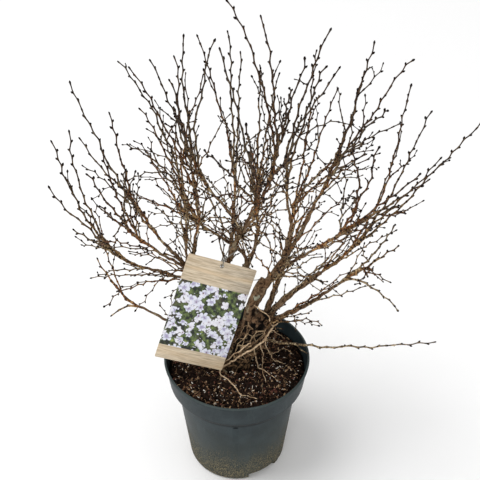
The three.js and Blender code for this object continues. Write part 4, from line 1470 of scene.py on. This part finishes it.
def bark_finish():
    """Rough brown bark: cracks darkened and ridges made paler as painted shade and highlight, a mossy
    foot, ruddy younger wood and lichen.
    """
    finish = Finish("bark", Specular_IOR_Level=0.1)
    x, y, height = (finish.axis(name) for name in "XYZ")
    relief, girth = finish.attribute("relief"), finish.attribute("girth")
    patches = finish.noise(14, 3, 0.6)
    grain = finish.noise(1.4, 3, 0.65)
    # Darker where the relief is low and paler where it is high: painted shade in cracks and furrows,
    # painted highlight on ridges.
    old = finish.mix(relief.between(0.2, 0.8), "0d0906", "6c533e")
    ruddy = finish.mix(patches.between(0.42, 0.55), "7f6248", "947b60")
    young = finish.mix(relief.between(0.2, 0.8), "2a1b11", ruddy)
    # A painted highlight on the grain of the raised ridges.
    worn = grain.between(0.52, 0.75) * relief.between(0.3, 0.7) * 0.5
    foot = (1 - (height + (patches - 0.5) * 60).between(205, 262)) * 0.6
    moss = finish.mix(relief.between(0.3, 0.8), "140e08", "6a553d")
    grey = patches.between(0.58, 0.68) * relief.between(0.2, 0.7) * 0.6
    away = [axis - at for axis, at in zip((x, y, height), LICHEN["place"])]
    spread = sum(span * span for span in away) ** 0.5 + (patches - 0.5) * 16
    lichen = (1 - spread.between(LICHEN["reach"] - 2, LICHEN["reach"])) * grain.between(0.3, 0.5)
    wood = finish.layered(finish.mix(girth.between(3.8, 8), young, old), (worn, "9a7f5e"), (foot, moss),
                          (grey, "948c74"), (lichen * 0.85, "9fa18d"))
    finish.color(wood).roughness(0.78 + grain * 0.2)
    return finish.bump(grain, 0.4).material


TWIG_COLORS = (("ruddy_twigs", "3a200f", "875428", "bc9868"),
               ("brown_twigs", "372415", "806039", "c2a377"),
               ("grey_twigs", "3f3021", "8b7452", "c8b492"))
YOUNG_BARK = "1f130d"
THIN_BARK = "2e2119"


def twig_finish(name, dark, light, film):
    """Thin smooth bark with a pale film that cracks off, and darker last year's growth outside."""
    finish = Finish(name, Specular_IOR_Level=0.2)
    cloud = finish.noise(9, 3, 0.6)
    grain = finish.noise(3.2, 2, 0.6)
    x, y, z = (finish.axis(name) - float(at) for name, at in zip("XYZ", HEART))
    outer = ((x * x + y * y + z * z) ** 0.5 + (cloud - 0.5) * 120).between(210, 420)
    thin = 1 - finish.attribute("girth").between(0.5, 1.3)
    color = finish.layered(
        finish.mix(grain.between(0.4, 0.6), dark, light),
        (cloud.between(0.46, 0.6) * grain.between(0.42, 0.56) * 0.85, film),
        (thin * 0.6, THIN_BARK), (outer * 0.8, YOUNG_BARK))
    return finish.color(color).roughness(0.5 + grain * 0.3).bump(grain, 0.15).material


# Each layer's cell size in millimetres, the share of a cell that a blossom fills, and its seed
BLOSSOMS = ((12, 0.48, 3.7), (17, 0.5, 0.0), (21, 0.46, 8.3))


def label_finish():
    """A printed card: a generic blossom pattern between two bands of pale wood grain.

    Its back is plain card with a tan band at each end.
    """
    finish = Finish("label_card", Roughness=0.42)

    def along(direction):
        dot = finish.node("ShaderNodeVectorMath", {"operation": "DOT_PRODUCT"},
                          (finish.place, tuple(direction)), out="Value")
        return dot / MM - float(np.dot(LABEL_CENTRE, direction))

    x, y, z = along(label_across), along(label_up), along(label_out)
    flat = finish.flat(x * MM, y * MM)
    leaves = finish.noise(8, 3, 0.6, flat)
    shade = finish.noise(24, 2, 0.5, flat)
    picture = finish.layered(
        finish.mix(leaves.between(0.4, 0.62), "0d150e", "62743c"),
        (shade.between(0.42, 0.6) * 0.65, "44382b"),
        (leaves.between(0.6, 0.68) * shade.between(0.5, 0.4) * 0.7, "a5b25a"))
    bend = finish.noise(7, 2, 0.5, flat)
    for size, share, seed in BLOSSOMS:
        bent_x, bent_y = x + (bend - 0.5) * 8 + seed * 11, y + (leaves - 0.5) * 8 + seed * 7
        picture = blossoms(finish, picture, bent_x, bent_y, size, share, shade)
    fibre = finish.flat(x * MM * 0.07, y * MM)
    grain = finish.noise(2.2, 4, 0.65, fibre)
    weather = finish.noise(30, 3, 0.6, fibre)
    worn = weather.between(0.45, 0.6) * (x + y).between(40, 110)
    wood = finish.layered(
        finish.mix(grain.between(0.3, 0.7), "ac997e", "dfcfb5"),
        (weather.between(0.5, 0.35) * 0.5, "d8b88c"),
        (worn * 0.8, finish.mix(grain.between(0.35, 0.6), "857c6e", "b5ab9a")))
    hole = ((x * x + (y - LABEL_HOLE["height"]) ** 2) ** 0.5).between(*LABEL_HOLE["ring"])
    wood = finish.mix(hole, "2a241d", wood)
    top, bottom = (LABEL["height"] * share for share in LABEL_BANDS)
    banded = (y > top) + (y < bottom)
    front = finish.mix(banded, picture, wood)
    back = finish.mix(banded, "cfc9bc", "bba583")
    return finish.color(finish.mix(z > 0.0, back, front)).material


def blossoms(finish, under, x, y, size, share, shade):
    """Five-petalled blossoms in drifts over a colour, one in each cell of a size in millimetres."""
    where = finish.flat(x / size, y / size)
    cells = {"voronoi_dimensions": "2D"}
    values = {"Vector": where, "Scale": 1.0, "Randomness": 0.9}
    middle, tone = (finish.node("ShaderNodeTexVoronoi", cells, values, out=name)
                    for name in ("Position", "Color"))
    luck = finish.node("ShaderNodeSeparateColor", values=(tone,))
    away = finish.node("ShaderNodeVectorMath", {"operation": "SUBTRACT"}, (where, middle))
    dx, dy = (finish.node("ShaderNodeSeparateXYZ", values=(away,), out=name) for name in "XY")
    squash = 0.6 + luck * 0.4
    distance = (dx * dx + dy * dy / squash) ** 0.5
    angle = dy.sum("ARCTAN2", dy, dx) + luck * 6
    petal = abs(angle.sum("COSINE", angle * 2.5)) ** 0.5
    edge = (petal * 0.65 + 0.35) * share
    inside = 1 - (distance / edge).between(0.88, 1.02)
    out = distance / share
    white = finish.mix(out.between(0.1, 0.6), "aaa2c2", "dfe1ee")
    bloom = finish.layered(
        finish.mix(petal.between(0.15, 0.6), "74788c", white),
        (luck.between(0.4, 0.6) * 0.6, "f0eef2"),
        ((1 - out.between(0.06, 0.16)) * luck.between(0.35, 0.4), "6c4148"))
    drift = luck < shade.between(0.38, 0.62) * 0.9 + 0.18
    return finish.mix(inside * drift, under, bloom)


# Putting it together
def cover(piece, material):
    """Gives a piece its finish."""
    piece.data.materials.clear()
    piece.data.materials.append(material)


def dress(piece, material, *nodes, slot=None):
    """Gives a new piece its finish, its body, and the nodes that it stands for."""
    cover(piece, material)
    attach(piece, "root")
    if nodes:
        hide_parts(*nodes)


def make_camera():
    """The camera, where the photograph was taken from."""
    data = bpy.data.cameras.new("camera")
    data.lens, data.sensor_width = LENS, SENSOR_WIDTH
    camera = placed("camera", data)
    camera.location = Vector(CAMERA_PLACE) * MM
    camera.rotation_euler = (math.radians(90 - CAMERA_PITCH), 0, 0)
    bpy.context.scene.camera = camera


def add_light(name, place, size, power):
    """A soft round light that shines on the plant."""
    data = bpy.data.lights.new(name, "AREA")
    data.shape, data.size, data.energy = "DISK", size, power
    light = placed(name, data)
    light.visible_camera = False
    light.location = place
    light.rotation_euler = (Vector(LIGHT_TARGET) - Vector(place)).to_track_quat("-Z", "Y").to_euler()


def make_studio():
    """A pale floor and sky, with a soft light from the upper left and a weaker one from the front."""
    bpy.ops.mesh.primitive_plane_add(size=FLOOR_SIZE)
    floor = bpy.context.object
    floor.name = "floor"
    floor.data.materials.append(Finish("floor_paper", Base_Color=paint("fafafa"), Roughness=0.9).material)
    for name, light in LIGHTS.items():
        add_light(name, **light)
    world = bpy.data.worlds.new("studio")
    world.use_nodes = True
    sky = world.node_tree.nodes["Background"].inputs
    sky["Color"].default_value = (1, 1, 1, 1)
    sky["Strength"].default_value = SKY_STRENGTH
    bpy.context.scene.world = world
    bpy.context.scene.view_settings.view_transform = "Standard"


def main():
    """Makes the whole scene, in an order that every run keeps."""
    noise.seed_set(CROOK_SEED)
    make_camera()
    make_studio()
    dress(make_pot(), pot_finish(), "pot", slot="pot_plastic")
    dress(make_soil(), soil_finish(), "soil", slot="compost")
    for piece in make_litter():
        dress(piece, plain_finish(piece.name, *LITTER[piece.name]["colors"], 3), slot="compost")
    dress(make_fibres(), plain_finish("soil_fibres", "6b523b", "b09674", 6), slot="roots")

    wood, twigs = grow_crown()
    bark = make_bark(wood)
    dress(bark, bark_finish(), "trunk", *MAIN_BOUGHS, *UPPER_BOUGHS, slot="bark")
    for tint, (name, dark, light, film) in enumerate(TWIG_COLORS):
        spray = Gathering()
        for twig in twigs:
            if twig.tint == tint:
                add_twig(spray, twig)
        dress(spray.build(name), twig_finish(name, dark, light, film), *MASSES, slot="twigs")
    buds = Gathering()
    for twig in twigs:
        add_buds(buds, twig)
    dress(buds.build("buds"), plain_finish("buds", "060403", "21140e", 2, 0.6, 0.1), *MASSES,
          slot="twigs")
    dress(make_strands(), plain_finish("root_bark", "92765a", "d8bf9e", 5), "surface_roots", slot="roots")
    rootlets = make_rootlets(bark, wood["trunk_right"])
    dress(rootlets, plain_finish("rootlets", "6b5540", "c4a985", 9), "surface_roots", slot="roots")
    cover(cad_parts["label"], label_finish())
    cover(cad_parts["label_loop"], plain_finish("loop_plastic", "77756e", "8d8a82", 4, 0.4, 0.02))


main()
